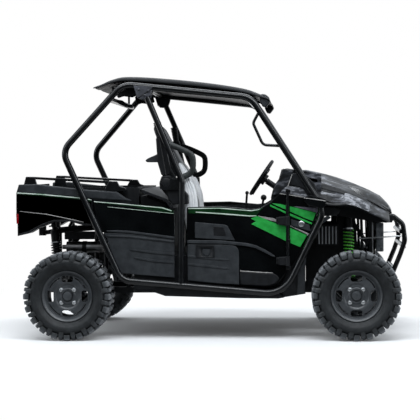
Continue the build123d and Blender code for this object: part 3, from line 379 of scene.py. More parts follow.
def round_edges(piece, width_mm, segments=2, angle=32):
    """Rounds the sharp edges of a piece."""
    apply_modifier(
        piece, "BEVEL", width=width_mm * MM, segments=segments, limit_method="ANGLE",
        angle_limit=radians(angle),
    )
    bpy.ops.object.shade_smooth_by_angle(angle=radians(angle))


def turned(name, profile, steps=SPIN_STEPS):
    """Spins a profile of (Y, radius) points, in millimetres, about the Y axis."""
    deselect()
    bpy.ops.mesh.primitive_circle_add(vertices=len(profile), fill_type="NOTHING")
    piece = bpy.context.object
    piece.name = name
    for vertex, (y, radius) in zip(piece.data.vertices, profile):
        vertex.co = (0, y * MM, radius * MM)
    edit(piece)
    bpy.ops.mesh.spin(steps=steps, angle=tau, center=(0, 0, 0), axis=(0, 1, 0))
    close_edit()
    return piece


def join(pieces, name):
    """Makes one object of several."""
    deselect()
    for part in pieces:
        part.select_set(True)
    bpy.context.view_layer.objects.active = pieces[0]
    if len(pieces) > 1:
        bpy.ops.object.join()
    pieces[0].name = name
    return pieces[0]


def copy_of(piece, name, matrix):
    """A copy with its own mesh, moved by a matrix in its vertices."""
    twin = piece.copy()
    twin.data = piece.data.copy()
    twin.name = name
    scene.collection.objects.link(twin)
    twin.data.transform(matrix)
    if matrix.determinant() < 0:
        twin.data.flip_normals()
    return twin


def dress(piece, material, body, slot, *nodes):
    """Gives a finished piece its finish and its body, and hides the CAD nodes it stands for; the
    slot is not used.
    """
    piece.data.materials.clear()
    piece.data.materials.append(material)
    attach(piece, body)
    if nodes:
        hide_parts(*nodes)


def tread_block(stations, middle):
    """One block of tread: rows of (Y, base radius, tip radius, half angle, lead), from inboard."""
    deselect()
    bpy.ops.mesh.primitive_cube_add(size=2)
    block = bpy.context.object
    edit(block)
    for station in range(2, len(stations)):
        end = 2 * station - 3
        pick(block, "polygons", lambda face: face.center.y > end - 0.5)
        bpy.ops.mesh.extrude_region_move(TRANSFORM_OT_translate={"value": (0, 2, 0)})
    bpy.ops.mesh.select_all(action="SELECT")
    bpy.ops.mesh.normals_make_consistent(inside=False)
    bpy.ops.object.mode_set(mode="OBJECT")
    for vertex in block.data.vertices:
        y, base, tip, half_angle, lead = stations[round((vertex.co.y + 1) / 2)]
        radius = tip if vertex.co.z > 0 else base
        spread = half_angle if vertex.co.z > 0 else half_angle + 1.2
        turn = radians(middle + lead + (spread if vertex.co.x > 0 else -spread))
        vertex.co = (radius * sin(turn) * MM, -y * MM, radius * cos(turn) * MM)
    edit(block)
    close_edit(30)
    round_edges(block, 2.5, 1)
    return block


def make_carcass(name, half):
    """A tyre's body about the Y axis, its outer side towards -Y; half is half its width in mm."""
    side = (
        (half - 38, 179), (half - 37, 197), (half - 30, 206), (half - 17, 217), (half - 15, 223),
        (half - 9, 228), (half - 5, 240), (half - 1, 258), (half - 4, 272), (half - 11, 280),
        (half - 18, 288), (half - 30, 298), (half - 46, 305), (half - 70, 308),
    )
    profile = [(-y, r) for y, r in side] + [(y, r) for y, r in reversed(side)]
    return turned(name, profile)


def make_tread(name, half):
    """The tread blocks of a tyre about the Y axis, joined into one piece."""
    parts = []
    pitch = 360 / LUG_PITCHES
    # Y, base radius, tip radius, half angle, lead
    edge_lug = (
        (half * 0.30, 300, 337, 2.6, 2.4), (half * 0.62, 300, 337, 2.4, 1.0),
        (half - 24, 292, 337, 3.4, 0), (half - 9, 292, 331, 3.7, 0.6),
        (half - 5, 292, 316, 3.0, 0.6),
    )
    side_biter = (
        (half - 30, 284, 322, 2.2, 0), (half - 6, 280, 316, 2.9, 0), (half, 268, 300, 2.3, -0.6)
    )
    inner_lug = (
        (half * 0.10, 300, 336, 2.4, -2.6), (half * 0.45, 300, 336, 2.0, 0),
        (half - 34, 298, 335, 2.2, 0),
    )
    middle_lug = ((-half * 0.16, 300, 337, 2.4, 1.5), (half * 0.16, 300, 337, 2.4, -1.5))
    rows = ((edge_lug, 0), (side_biter, pitch / 2), (inner_lug, pitch / 2 + 0.6), (middle_lug, 0))
    for stations, offset in rows:
        for side_sign in (1,) if stations is middle_lug else (1, -1):
            master = tread_block(stations, offset)
            if side_sign < 0:
                master.data.transform(MIRROR)
                master.data.flip_normals()
            for k in range(1, LUG_PITCHES):
                turn = Matrix.Rotation(radians(k * pitch), 4, "Y")
                parts.append(copy_of(master, "lug", turn))
            parts.append(master)
    return join(parts, name)


# The tread's tone is painted light and shade: the lugs' outer faces are painted pale as a highlight
# and the grooves dark as shade, so the tone follows the distance from the nearer axle: the axles
# stand at equal distances from AXLE_MIDDLE_X.
AXLE_MIDDLE_X = -0.0075
AXLE_REACH = 1.0935
tyre_rubber, shader, tree = new_finish(
    "black tyre rubber", "#2a2c2e", roughness=0.6, Specular_IOR_Level=0.35
)
place, grain = add_grain(tree, shader, 2.2, 0.35)
parts_of = add_node(tree, "ShaderNodeSeparateXYZ", links={"Vector": place.outputs["Object"]})
across = parts_of.outputs["X"]
for operation, number in (("SUBTRACT", AXLE_MIDDLE_X), ("ABSOLUTE", 0), ("SUBTRACT", AXLE_REACH)):
    step = add_node(tree, "ShaderNodeMath", {1: number}, {0: across}, operation=operation)
    across = step.outputs["Value"]
up = add_node(tree, "ShaderNodeMath", {1: AXLE_Z}, {0: parts_of.outputs["Z"]}, operation="SUBTRACT")
spoke = add_node(tree, "ShaderNodeCombineXYZ", links={"X": across, "Y": up.outputs["Value"]})
radius = add_node(
    tree, "ShaderNodeVectorMath", links={0: spoke.outputs["Vector"]}, operation="LENGTH"
)
tread_light_share = add_node(
    tree, "ShaderNodeMapRange", {"From Min": 0.28, "From Max": 0.34},
    {"Value": radius.outputs["Value"]},
)
painted_tread_light = add_node(tree, "ShaderNodeValToRGB", links={"Fac": tread_light_share.outputs["Result"]})
# Painted shade dark towards the lugs' roots, painted highlight pale at their tips.
TREAD_LIGHT_AND_SHADE_TONES = (
    (0.0, "#141516"), (0.16, "#1c1e1f"), (0.42, "#3b3e41"), (0.62, "#484b4e"), (0.94, "#a0a3a7")
)
set_tones(painted_tread_light, TREAD_LIGHT_AND_SHADE_TONES)
dust_and_painted_light = add_node(
    tree, "ShaderNodeMix", {"B": colour("#2c2f31")},
    {"Factor": grain.outputs["Fac"], "A": painted_tread_light.outputs["Color"]},
    data_type="RGBA",
)
tree.links.new(dust_and_painted_light.outputs["Result"], shader.inputs["Base Color"])
# Moulded sidewall rubber is darker and smoother than the lugs, and dull, with a faint grain.
carcass_rubber = grained_finish(
    "moulded sidewall rubber", "#191b1d", (1.6, 0.2), (45, "#151719", "#222527"), roughness=0.55,
    Specular_IOR_Level=0.3,
)


def put_on_axle(master, label, material, slot, *replaced):
    """Copies a piece made about the Y axis onto both wheels of an axle, and removes the master."""
    for wheel, axle_x, side, width in WHEELS:
        end, hand = wheel.split("_")
        if end != label:
            continue
        centre = Matrix.Translation((axle_x, side * (WHEEL_OUTER_Y - width / 2), AXLE_Z))
        turn = Matrix.Rotation(0 if side < 0 else pi, 4, "Z")
        twin = copy_of(master, f"{master.name}_{hand}", centre @ turn)
        dress(twin, material, f"wheel_{wheel}", slot, *[f"{node}_{wheel}" for node in replaced])
    bpy.data.objects.remove(master)


for label, width in (("front", 230), ("rear", 280)):
    carcass = make_carcass(f"tyre_{label}_carcass", width / 2)
    put_on_axle(carcass, label, carcass_rubber, "tyre_rubber", "tyre")
    tread = make_tread(f"tyre_{label}_tread", width / 2)
    put_on_axle(tread, label, tyre_rubber, "tyre_rubber")

# ---------------------------------------------------------------- wheels
# Pressed and welded steel wheels, painted dark grey. Each disc has four rounded windows, with
# a shallow curved groove between them, and is held by four bright zinc nuts.
# Satin paint over pressed steel: a soft, broad highlight along each edge.
wheel_paint = grained_finish(
    "satin wheel paint", "#2e3134", (1.5, 0.06), (70, "#2a2d30", "#3a3d40"), roughness=0.38
)
# Zinc plate is bright, with a slight haze that takes the edge off what it reflects.
bright_zinc = grained_finish(
    "zinc-plated steel", "#c9ccce", (1.2, 0.05), metallic=1.0, roughness=0.28
)
# Turned cast iron gleams dully, greyer than the zinc.
turned_iron = grained_finish(
    "turned cast iron", "#5c5f62", (1.0, 0.08), metallic=1.0, roughness=0.45
)
WINDOW_RADIUS = 131
GROOVE_INNER = 145
GROOVE_OUTER = 154
GROOVE_ARC = 44
NUT_CIRCLE_RADIUS = 68.5


def cut_with(piece, cutters):
    """Takes the shapes of the cutters out of a piece and removes them."""
    cutter = join(cutters, "cutter")
    apply_modifier(piece, "BOOLEAN", operation="DIFFERENCE", object=cutter, solver="EXACT")
    bpy.data.objects.remove(cutter)


def runs_along_y(piece, edge):
    """Whether an edge of a piece runs along Y."""
    a, b = (piece.data.vertices[i].co.y for i in edge.vertices)
    return abs(a - b) > 0.01


def make_wheel(name, tyre_half):
    """A wheel about the Y axis, its outer lip towards -Y, to fit a tyre of that half width."""
    width = 2 * tyre_half - 60
    lip = -width / 2
    # distance in from the outer lip, radius; from the hub's edge round the barrel and back
    section = (
        (30, 42), (27, 47), (27, 58), (31, 63), (31, 88), (25, 96), (22, 104), (22, 152), (25, 158),
        (25, 165), (20, 169), (8, 176), (4, 184), (1, 187), (0, 190), (1, 193), (7, 193), (9, 179),
        (34, 177), (50, 162), (width - 50, 162), (width - 34, 177), (width - 9, 179),
        (width - 7, 193), (width - 1, 193), (width, 188), (width - 8, 174), (width - 36, 169),
        (width - 54, 154), (60, 154), (46, 165), (40, 165), (36, 158), (34, 100), (42, 60),
        (42, 42),
    )
    wheel = turned(name, [(lip + depth, radius) for depth, radius in section])
    cutters = []
    for k in range(4):
        turn = Matrix.Rotation(k * pi / 2, 4, "Y")
        deselect()
        bpy.ops.mesh.primitive_cube_add(size=1)
        window = bpy.context.object
        window.data.transform(Matrix.Diagonal((0.088, 0.08, 0.048, 1)))
        edit(window)
        pick(window, "edges", lambda edge: runs_along_y(window, edge))
        bpy.ops.mesh.bevel(offset=0.017, segments=4)
        bpy.ops.object.mode_set(mode="OBJECT")
        window.data.transform(turn @ Matrix.Translation((0, (lip + 30) * MM, WINDOW_RADIUS * MM)))
        cutters.append(window)
    cut_with(wheel, cutters)
    grooves = []
    for k in range(4):
        deselect()
        bpy.ops.mesh.primitive_plane_add(size=1)
        groove = bpy.context.object
        corners = ((-14, GROOVE_INNER), (13, GROOVE_INNER), (-14, GROOVE_OUTER), (13, GROOVE_OUTER))
        for vertex, (y, radius) in zip(groove.data.vertices, corners):
            vertex.co = (0, (lip + 25 + y) * MM, radius * MM)
        start = 45 + 90 * k + GROOVE_ARC / 2
        groove.data.transform(Matrix.Rotation(radians(start), 4, "Y"))
        edit(groove)
        bpy.ops.mesh.delete(type="ONLY_FACE")
        bpy.ops.mesh.select_all(action="SELECT")
        bpy.ops.mesh.spin(steps=10, angle=radians(GROOVE_ARC), center=(0, 0, 0), axis=(0, 1, 0))
        bpy.ops.mesh.select_all(action="DESELECT")
        bpy.ops.mesh.select_non_manifold()
        bpy.ops.mesh.fill_holes(sides=4)
        close_edit()
        grooves.append(groove)
    cut_with(wheel, grooves)
    round_edges(wheel, 1.6, 2, 40)
    return wheel


def make_nut_set(name, lip):
    """Four hexagon nuts with flanges on the nut circle."""
    nuts = []
    for k in range(4):
        deselect()
        bpy.ops.mesh.primitive_cylinder_add(
            vertices=6, radius=0.0115, depth=0.016, rotation=(pi / 2, 0, 0)
        )
        nut = bpy.context.object
        bpy.ops.object.transform_apply()
        edit(nut)
        pick(nut, "polygons", lambda face: face.normal.y < -0.9)
        bpy.ops.mesh.inset(thickness=0.003, depth=0.002)
        bpy.ops.mesh.inset(thickness=0.0025, depth=0)
        bpy.ops.mesh.extrude_region_move(TRANSFORM_OT_translate={"value": (0, 0.006, 0)})
        close_edit()
        flange = turned("flange", [(-3, 0.01), (-3, 11), (-1, 16), (0, 16.5), (0, 0.01)], steps=24)
        flange.data.transform(Matrix.Translation((0, 0.009, 0)))
        nut = join([nut, flange], "nut")
        place_at = Matrix.Rotation(pi / 4 + k * pi / 2, 4, "Y")
        nut.data.transform(
            place_at @ Matrix.Translation((0, (lip + 22) * MM, NUT_CIRCLE_RADIUS * MM))
        )
        nuts.append(nut)
    return join(nuts, name)


for label, width in (("front", 230), ("rear", 280)):
    half = width / 2
    lip = -(half - 30)
    put_on_axle(make_wheel(f"wheel_{label}_disc", half), label, wheel_paint, "rim_steel", "rim")
    cap_profile = ((14, 0.01), (14, 26), (16, 32), (22, 36), (32, 38), (32, 0.01))
    cap = turned(f"wheel_{label}_cap", [(lip + y, r) for y, r in cap_profile], steps=40)
    put_on_axle(cap, label, wheel_paint, "rim_steel")
    put_on_axle(make_nut_set(f"wheel_{label}_nuts", lip), label, bright_zinc, "rim_steel")
    hub_profile = (
        (40, 0.01), (40, 58), (60, 56), (62, 98), (68, 98), (68, 36), (74, 30), (110, 20),
        (110, 0.01),
    )
    hub = turned(f"wheel_{label}_hub", [(lip + y, r) for y, r in hub_profile], steps=48)
    put_on_axle(hub, label, turned_iron, "rim_steel")


# ---------------------------------------------------------------- body side finishes
# The upper body is injection-moulded plastic with a deep gloss black lacquer that looks green
# where it catches the light. The lower panels are bare charcoal plastic with a fine grain.
# Deep lacquer: fairly sharp reflections with a slow ripple, and near black elsewhere.
gloss_black = grained_finish(
    "gloss black lacquer", "#050607", (14, 0.06, 1.0), (160, "#040506", "#090b0c"), roughness=0.16,
    Specular_IOR_Level=0.2,
)

# Green flake under the lacquer: a very dark green whose reflections are tinted green.
green_gloss = grained_finish(
    "green flake lacquer", "#0c2413", (2.0, 0.05), (120, "#06150a", "#123219"), roughness=0.2,
    Specular_IOR_Level=0.6, Specular_Tint=colour("#8fd6a0"),
)

# Bare moulded plastic: a fine pebble grain that breaks highlights into a soft grey sheen.
charcoal_plastic = grained_finish(
    "grained charcoal plastic", "#26292c", (1.8, 0.35), (60, "#222528", "#2f3235"), roughness=0.5,
    Specular_IOR_Level=0.25,
)

# The same plastic in black, a little smoother, for brackets, liners and housings.
dark_plastic = grained_finish(
    "grained black plastic", "#0e1012", (1.8, 0.35), (50, "#0b0d0f", "#17191c"), roughness=0.46,
    Specular_IOR_Level=0.25,
)

# Green vinyl film: a strong green, slightly uneven, with a satin shine.
green_film = grained_finish(
    "green vinyl film", "#1f9a3c", (3.0, 0.03), (50, "#188a33", "#2aa648"), roughness=0.35,
    Coat_Weight=0.2,
)

# Part of its shine is metallic, so the silver lightens and darkens with what it faces.
silver_film = grained_finish(
    "silver vinyl film", "#b9b7b4", (2.0, 0.03), (40, "#a3a19f", "#cfcdca"), metallic=0.6,
    roughness=0.35,
)

# Smoke film is less metallic, and reads as a mottled grey.
smoke_film = grained_finish(
    "smoke grey vinyl film", "#5f5f68", (2.0, 0.03), (90, "#3a3b42", "#7c7b85"), metallic=0.3,
    roughness=0.35,
)

# A painted highlight: the rolled edge is drawn pale, as the light it catches, in a thin line with a
# green cast.
painted_highlight_edge = grained_finish(
    "painted highlight on rolled edge", "#b9c9bc", (2.0, 0.03), (120, "#9db8a3", "#dbe4dc"), metallic=0.1,
    roughness=0.3,
)

# bodies of a right-hand piece and of its twin
ON_CHASSIS = ("chassis", "chassis")
SLOTS = {
    gloss_black: "gloss_black", green_gloss: "gloss_black", painted_highlight_edge: "gloss_black",
    silver_film: "gloss_black", charcoal_plastic: "black_plastic", dark_plastic: "black_plastic",
    powder_coat: "frame_steel", bright_zinc: "bare_alloy",
}


def box(x0, z0, x1, z1):
    """The (X, Z) outline of a rectangle between two corners."""
    return [(x0, z0), (x1, z0), (x1, z1), (x0, z1)]


def plate(name, outline, outer, inner, round_mm=3.0, segments=3):
    """A plate on the right side, cut to (X, Z) points, from |Y| = outer in to |Y| = inner."""
    deselect()
    bpy.ops.mesh.primitive_circle_add(vertices=len(outline), fill_type="NGON")
    piece = bpy.context.object
    piece.name = name
    for vertex, (x, z) in zip(piece.data.vertices, outline):
        vertex.co = (x * MM, -outer * MM, z * MM)
    edit(piece)
    depth = (outer - inner) * MM
    bpy.ops.mesh.extrude_region_move(TRANSFORM_OT_translate={"value": (0, depth, 0)})
    close_edit(30)
    if round_mm:
        round_edges(piece, round_mm, segments, 24)
    return piece


def band(line):
    """The outline of a strip along (X, Z, half height) points."""
    return [(x, z + half) for x, z, half in line] + [(x, z - half) for x, z, half in reversed(line)]


def dress_pair(piece, finish, bodies=ON_CHASSIS, slot=None, right_nodes=(), left_nodes=()):
    """Dresses a right-hand piece and its mirror image on the left; the finish tells the slot."""
    slot = slot or SLOTS[finish]
    twin = copy_of(piece, piece.name + "_left", MIRROR)
    piece.name += "_right"
    dress(piece, finish, bodies[0], slot, *right_nodes)
    dress(twin, finish, bodies[1], slot, *left_nodes)


def pair(name, finish, outline, outer, inner, round_mm=3.0, segments=3, **dressing):
    """A plate and its mirror image, dressed; dressing is bodies, slot and nodes, if not usual."""
    dress_pair(plate(name, outline, outer, inner, round_mm, segments), finish, **dressing)


# ---------------------------------------------------------------- quarter panels
# Two-piece plastic panels behind the doors, clipped to the bed frame and the B pillars: a
# lacquered upper half whose rolled edge carries a painted highlight, and a charcoal lower half with
# four ribs.
QUARTER_SPLIT = ((-282, 766), (-621, 812), (-720, 818), (-824, 818))
pair(
    "quarter_upper", gloss_black,
    [
        (-282, 985), (-360, 1012), (-780, 1052), (-898, 1058), (-884, 920), (-878, 868),
        *reversed(QUARTER_SPLIT),
    ],
    703, 662, 9, right_nodes=("quarter_panels",),
)
pair(
    "quarter_belt", green_gloss,
    [(-284, 982), (-360, 1010), (-892, 1060), (-894, 1048), (-600, 1016), (-284, 958)],
    707, 690, 5,
)
# Pale bands painted along the belt's rolled edge and along a line below it: painted highlights.
QUARTER_HIGHLIGHT_LINES = (
    ((-893, 1056, 3), (-687, 1038, 3), (-374, 1006, 3.5), (-300, 982, 4)),
    ((-790, 1016, 1.2), (-603, 996, 1.6), (-286, 962, 1.6)),
)
edges = [plate("edge", band(edge), 710, 700, 2) for edge in QUARTER_HIGHLIGHT_LINES]
dress_pair(join(edges, "quarter_painted_highlight"), painted_highlight_edge)
pair(
    "quarter_lower", charcoal_plastic,
    [*QUARTER_SPLIT, (-802, 782), (-742, 600), (-690, 508), (-282, 474)],
    700, 662, 6,
)
QUARTER_RIBS = (
    ((-282, 778, 9), (-621, 824, 9), (-720, 830, 8), (-800, 832, 4)),
    ((-282, 748, 9), (-621, 788, 9), (-792, 794, 7)),
    ((-282, 655, 8), (-450, 670, 8), (-600, 688, 5), (-622, 692, 1)),
    ((-282, 592, 8), (-450, 607, 8), (-572, 626, 5), (-594, 631, 1)),
)
ribs = [plate("rib", band(rib), 707, 692, 6, 4) for rib in QUARTER_RIBS]
dress_pair(join(ribs, "quarter_ribs"), charcoal_plastic)

# ---------------------------------------------------------------- doors
# Half doors of black plastic on a steel frame, hinged on the front pillar's tube. A charcoal
# lower panel holds the latch housing; a long swept rib runs from the latch to the hinges.
DOOR_BODIES = ("door_right", "door_left")
DOOR_RIM = (
    (-188, 448), (62, 424), (401, 402), (438, 406), (470, 415), (503, 436), (530, 462), (550, 490),
    (562, 520), (562, 1098), (507, 1107), (440, 1040), (367, 998), (300, 991), (66, 1014),
    (-188, 1010),
)
pair(
    "door_shell", gloss_black, DOOR_RIM, 700, 665, 8, bodies=DOOR_BODIES,
    right_nodes=("door_right",), left_nodes=("door_left",),
)
pair(
    "door_belt", green_gloss,
    [
        (-176, 1004), (66, 1004), (300, 982), (352, 984), (400, 1010), (340, 944), (292, 931),
        (60, 950), (-176, 962),
    ],
    706, 692, 6, bodies=DOOR_BODIES,
)
# Pale bands painted along the door's belt edge and along a line below it: painted highlights.
DOOR_HIGHLIGHT_LINES = (
    ((-176, 1000, 3), (66, 1000, 3.5), (300, 980, 3.5), (366, 990, 2)),
    ((-120, 972, 3), (60, 960, 4), (290, 940, 4), (340, 942, 2)),
)
edges = [plate("edge", band(edge), 709, 700, 2) for edge in DOOR_HIGHLIGHT_LINES]
dress_pair(join(edges, "door_painted_highlight"), painted_highlight_edge, DOOR_BODIES)
pair(
    "door_pad", charcoal_plastic, [(-126, 897), (100, 876), (122, 866), (176, 757), (-126, 776)],
    710, 692, 5, bodies=DOOR_BODIES,
)
pair(
    "door_pad_frame", dark_plastic, [(16, 864), (92, 858), (112, 790), (16, 796)], 713, 704, 3,
    bodies=DOOR_BODIES,
)
SWEPT_RIB = (
    (-186, 748, 13), (63, 745, 13), (180, 734, 12), (270, 724, 12), (333, 708, 12), (400, 676, 12),
    (452, 646, 10), (478, 634, 5),
)
pair("door_swept_rib", charcoal_plastic, band(SWEPT_RIB), 713, 690, 9, 4, bodies=DOOR_BODIES)
LOWER_PANEL = (
    (-186, 452), (62, 428), (206, 420), (206, 668), (200, 692), (184, 712), (160, 722), (63, 728),
    (-186, 730),
)
pair("door_lower_panel", charcoal_plastic, LOWER_PANEL, 707, 690, 7, 4, bodies=DOOR_BODIES)
DOOR_RIBS = (
    ((-184, 640, 8), (100, 612, 8), (128, 610, 2)), ((-184, 580, 8), (100, 548, 8), (128, 546, 2))
)
ribs = [plate("rib", band(rib), 712, 700, 5, 4) for rib in DOOR_RIBS]
dress_pair(join(ribs, "door_ribs"), charcoal_plastic, DOOR_BODIES)
KICK_PANEL = (
    (214, 420), (396, 410), (440, 414), (484, 432), (512, 464), (500, 486), (470, 506), (380, 510),
    (214, 522),
)
pair("door_kick_panel", dark_plastic, KICK_PANEL, 706, 690, 8, 4, bodies=DOOR_BODIES)
# A silver band painted along the crease above the kick panel: a painted highlight.
pair(
    "door_crease_highlight", silver_film, band(((214, 526, 3), (380, 514, 3), (462, 510, 2))), 708, 696, 2,
    bodies=DOOR_BODIES,
)
latch_housing = plate(
    "latch_housing", [(-120, 729), (20, 722), (22, 624), (-122, 630)], 716, 690, 6
)
latch_cup = plate(
    "latch_cup",
    [(-78, 700), (-2, 700), (-6, 655), (-24, 632), (-58, 632), (-76, 655)],
    730, 700, 10,
)
cut_with(latch_housing, [latch_cup])
dress_pair(latch_housing, dark_plastic, DOOR_BODIES)
pair(
    "latch_handle", charcoal_plastic,
    [(-70, 694), (-10, 694), (-14, 660), (-30, 640), (-52, 640), (-68, 660)],
    712, 694, 6, 3, bodies=DOOR_BODIES,
)

# ---------------------------------------------------------------- cowl and side stripes
# Fixed plastic cowl sides ahead of the doors. Green and silver film runs over the door and the
# cowl in two wedges, with a round key lock between them.
COWL_RIM = (
    (590, 560), (606, 560), (672, 700), (752, 860), (800, 962), (818, 1000), (818, 1052),
    (590, 1092),
)
pair("cowl_shell", gloss_black, COWL_RIM, 703, 662, 6, right_nodes=("cowl_sides",))


def clipped(outline, x_limit, keep_front):
    """The part of an outline ahead of (or behind) an X."""
    kept = []
    for (x0, z0), (x1, z1) in zip(outline, outline[1:] + outline[:1]):
        inside = (x0 >= x_limit) == keep_front
        if inside:
            kept.append((x0, z0))
        if inside != ((x1 >= x_limit) == keep_front):
            kept.append((x_limit, z0 + (z1 - z0) * (x_limit - x0) / (x1 - x0)))
    return kept


GREEN_UPPER = [
    (455, 1036), (518, 1029), (636, 1001), (785, 961), (764, 900), (699, 924), (625, 958),
    (545, 994), (486, 1020),
]
GREEN_EDGE = [
    (443, 1026), (539, 982), (625, 944), (759, 885), (754, 875), (619, 929), (528, 973), (443, 1012)
]
# name, film, (X, Z) outline over both the door and the cowl
STRIPES = (
    (
        "green_lower", green_film,
        [
            (297, 922), (340, 940), (452, 905), (560, 880), (722, 800), (668, 704), (540, 760),
            (300, 880), (336, 900),
        ],
    ),
    (
        "silver_lower", silver_film,
        [(350, 942), (470, 922), (600, 862), (734, 806), (724, 790), (590, 850), (450, 896)],
    ),
    ("green_upper", green_film, GREEN_UPPER), ("green_edge", green_film, GREEN_EDGE),
    ("smoke_upper", smoke_film, [(620, 1012), (812, 996), (792, 955), (785, 966), (640, 1004)]),
)
# part that carries a half, X of that half's edge, whether it lies ahead of the edge, bodies
STRIPE_HALVES = (("door", 560, False, DOOR_BODIES), ("cowl", 592, True, ON_CHASSIS))
for name, film, outline in STRIPES:
    for half, edge_x, ahead, bodies in STRIPE_HALVES:
        shape = clipped(outline, edge_x, ahead)
        if shape:
            stripe = plate(f"{name}_{half}", shape, 706, 699, 0.8, 1)
            dress_pair(stripe, film, bodies, slot="gloss_black")
pair(
    "cowl_lock_plate", charcoal_plastic, [(600, 915), (735, 872), (748, 822), (600, 868)], 706, 698,
    2,
)
LOCK_PLACE = (0.677, -0.702, 0.879)
lock = turned(
    "key_lock",
    [(0, 0.01), (0, 19), (-4, 22), (-9, 22), (-11, 19), (-11, 7), (-8, 6), (-8, 0.01)],
    steps=32,
)
lock.data.transform(Matrix.Translation(LOCK_PLACE))
dress_pair(lock, bright_zinc)

# ---------------------------------------------------------------- door hinges and trims
# Two cast blocks on each door turn on a steel tube that three brackets hold to the cowl. The
# blocks have a bolted flange on the door and a sleeve around the tube.
HINGE_X = 574
HINGE_Y = 748


def sleeve(name, radius, low, high):
    """An upright round sleeve about the hinge's axis, on the right side."""
    deselect()
    bpy.ops.mesh.primitive_cylinder_add(vertices=24, radius=radius * MM, depth=(high - low) * MM)
    made = bpy.context.object
    made.name = name
    made.data.transform(Matrix.Translation((HINGE_X * MM, -HINGE_Y * MM, (low + high) / 2 * MM)))
    made.location = (0, 0, 0)
    edit(made)
    close_edit()
    round_edges(made, 2, 2)
    return made


hinge_tube = [sleeve("hinge_tube", 11, 540, 1142)]
for z in (552, 753, 1127):
    hinge_tube.append(plate("bracket", box(560, z + 12, 596, z - 12), 758, 684, 5))
dress_pair(join(hinge_tube, "hinge_tube"), powder_coat)
blocks = []
for z in (602, 904):
    blocks.append(sleeve("sleeve", 18, z - 35, z + 35))
    blocks.append(
        plate("arm", [(504, z + 30), (572, z + 33), (572, z - 33), (504, z - 30)], 754, 700, 7, 3)
    )
    blocks.append(plate("flange", box(488, z + 26, 540, z - 26), 712, 698, 4))
    for bolt_z in (z - 14, z + 14):
        bolt = turned(
            "bolt", [(0, 0.01), (0, 6), (-2, 8), (-8, 8), (-9, 6.5), (-9, 0.01)], steps=12
        )
        bolt.data.transform(Matrix.Translation((0.498, -0.711, bolt_z * MM)))
        blocks.append(bolt)
dress_pair(join(blocks, "hinge_blocks"), dark_plastic, DOOR_BODIES, slot="frame_steel")

# Inside, each door has a thin moulded trim with a map pocket.
pair(
    "door_trim", charcoal_plastic,
    [(-60, 470), (380, 450), (500, 545), (520, 900), (480, 985), (-60, 985)],
    668, 662.6, 2, bodies=DOOR_BODIES,
)
pair(
    "door_pocket", dark_plastic, [(20, 520), (340, 500), (400, 560), (380, 720), (20, 720)], 664,
    661.8, 1, bodies=DOOR_BODIES,
)


# ---------------------------------------------------------------- cargo bed
# Steel box lined with black plastic, with lacquered plastic panels bolted to its sides under a
# charcoal top moulding. It tips on two ears under its floor.
ON_BED = ("cargo_bed", "cargo_bed")
repaint("cargo_bed", dark_plastic)
BED_PANEL = (
    (-1476, 1188), (-1000, 1140), (-950, 1100), (-914, 1072), (-896, 872), (-967, 872),
    (-1080, 905), (-1211, 902), (-1290, 876), (-1347, 848), (-1403, 815), (-1488, 796),
    (-1487, 860), (-1498, 1000), (-1496, 1124),
)
pair("bed_side_panel", gloss_black, BED_PANEL, 690, 672, 6, bodies=ON_BED)
pair(
    "bed_side_top", charcoal_plastic,
    [
        (-1478, 1190), (-1336, 1192), (-1028, 1154), (-943, 1145), (-721, 1129), (-654, 1082),
        (-603, 1060), (-909, 1080), (-1080, 1098), (-1484, 1128),
    ],
    694, 650, 9, bodies=ON_BED,
)
pair(
    "bed_belt", green_gloss,
    band(((-1486, 1122, 7), (-1200, 1098, 7), (-998, 1078, 7), (-918, 1060, 6))),
    696, 680, 5, bodies=ON_BED,
)
# A pale band painted along the bed side's rolled top edge: a painted highlight.
BED_HIGHLIGHT_LINE = ((-1488, 1126, 4), (-1285, 1112, 4), (-1011, 1085, 4), (-915, 1070, 3))
pair("bed_painted_highlight", painted_highlight_edge, band(BED_HIGHLIGHT_LINE), 699, 690, 2, bodies=ON_BED)
# A silver band painted along the bed side's crease: a painted highlight on the crease.
pair(
    "bed_crease_highlight", silver_film,
    band(((-1470, 986, 2), (-1259, 961, 3), (-1073, 922, 3), (-978, 900, 2))),
    693, 684, 2, bodies=ON_BED,
)
pair(
    "bed_arch_lip", dark_plastic,
    [
        (-1488, 812), (-1403, 833), (-1347, 864), (-1290, 892), (-1211, 918), (-1080, 921),
        (-967, 888), (-900, 888), (-898, 874), (-967, 872), (-1080, 905), (-1211, 902),
        (-1290, 876), (-1347, 848), (-1403, 815), (-1488, 796),
    ],
    694, 660, 4, bodies=ON_BED,
)
repaint("bed_sides", dark_plastic)

# ---------------------------------------------------------------- cargo rails
# A flat steel bar along the top of each side of the bed, powder coated and bolted down through
# two folded feet. It is rounded where it turns down at the back.
RAIL_PARTS = (
    [
        (-1434, 1248), (-1372, 1248), (-772, 1211), (-760, 1198), (-800, 1192), (-1372, 1228),
        (-1434, 1232),
    ],
    [(-1462, 1150), (-1434, 1249), (-1368, 1248), (-1350, 1190), (-1342, 1148)],
    [
        (-790, 1210), (-728, 1208), (-708, 1172), (-662, 1156), (-648, 1130), (-830, 1130),
        (-812, 1170),
    ],
)
feet = [
    plate("rail_part", outline, 612 + thick, 604 - thick, 5)
    for outline, thick in zip(RAIL_PARTS, (0, 12, 12))
]
dress_pair(join(feet, "cargo_rail"), powder_coat, ON_BED, right_nodes=("bed_rails",))

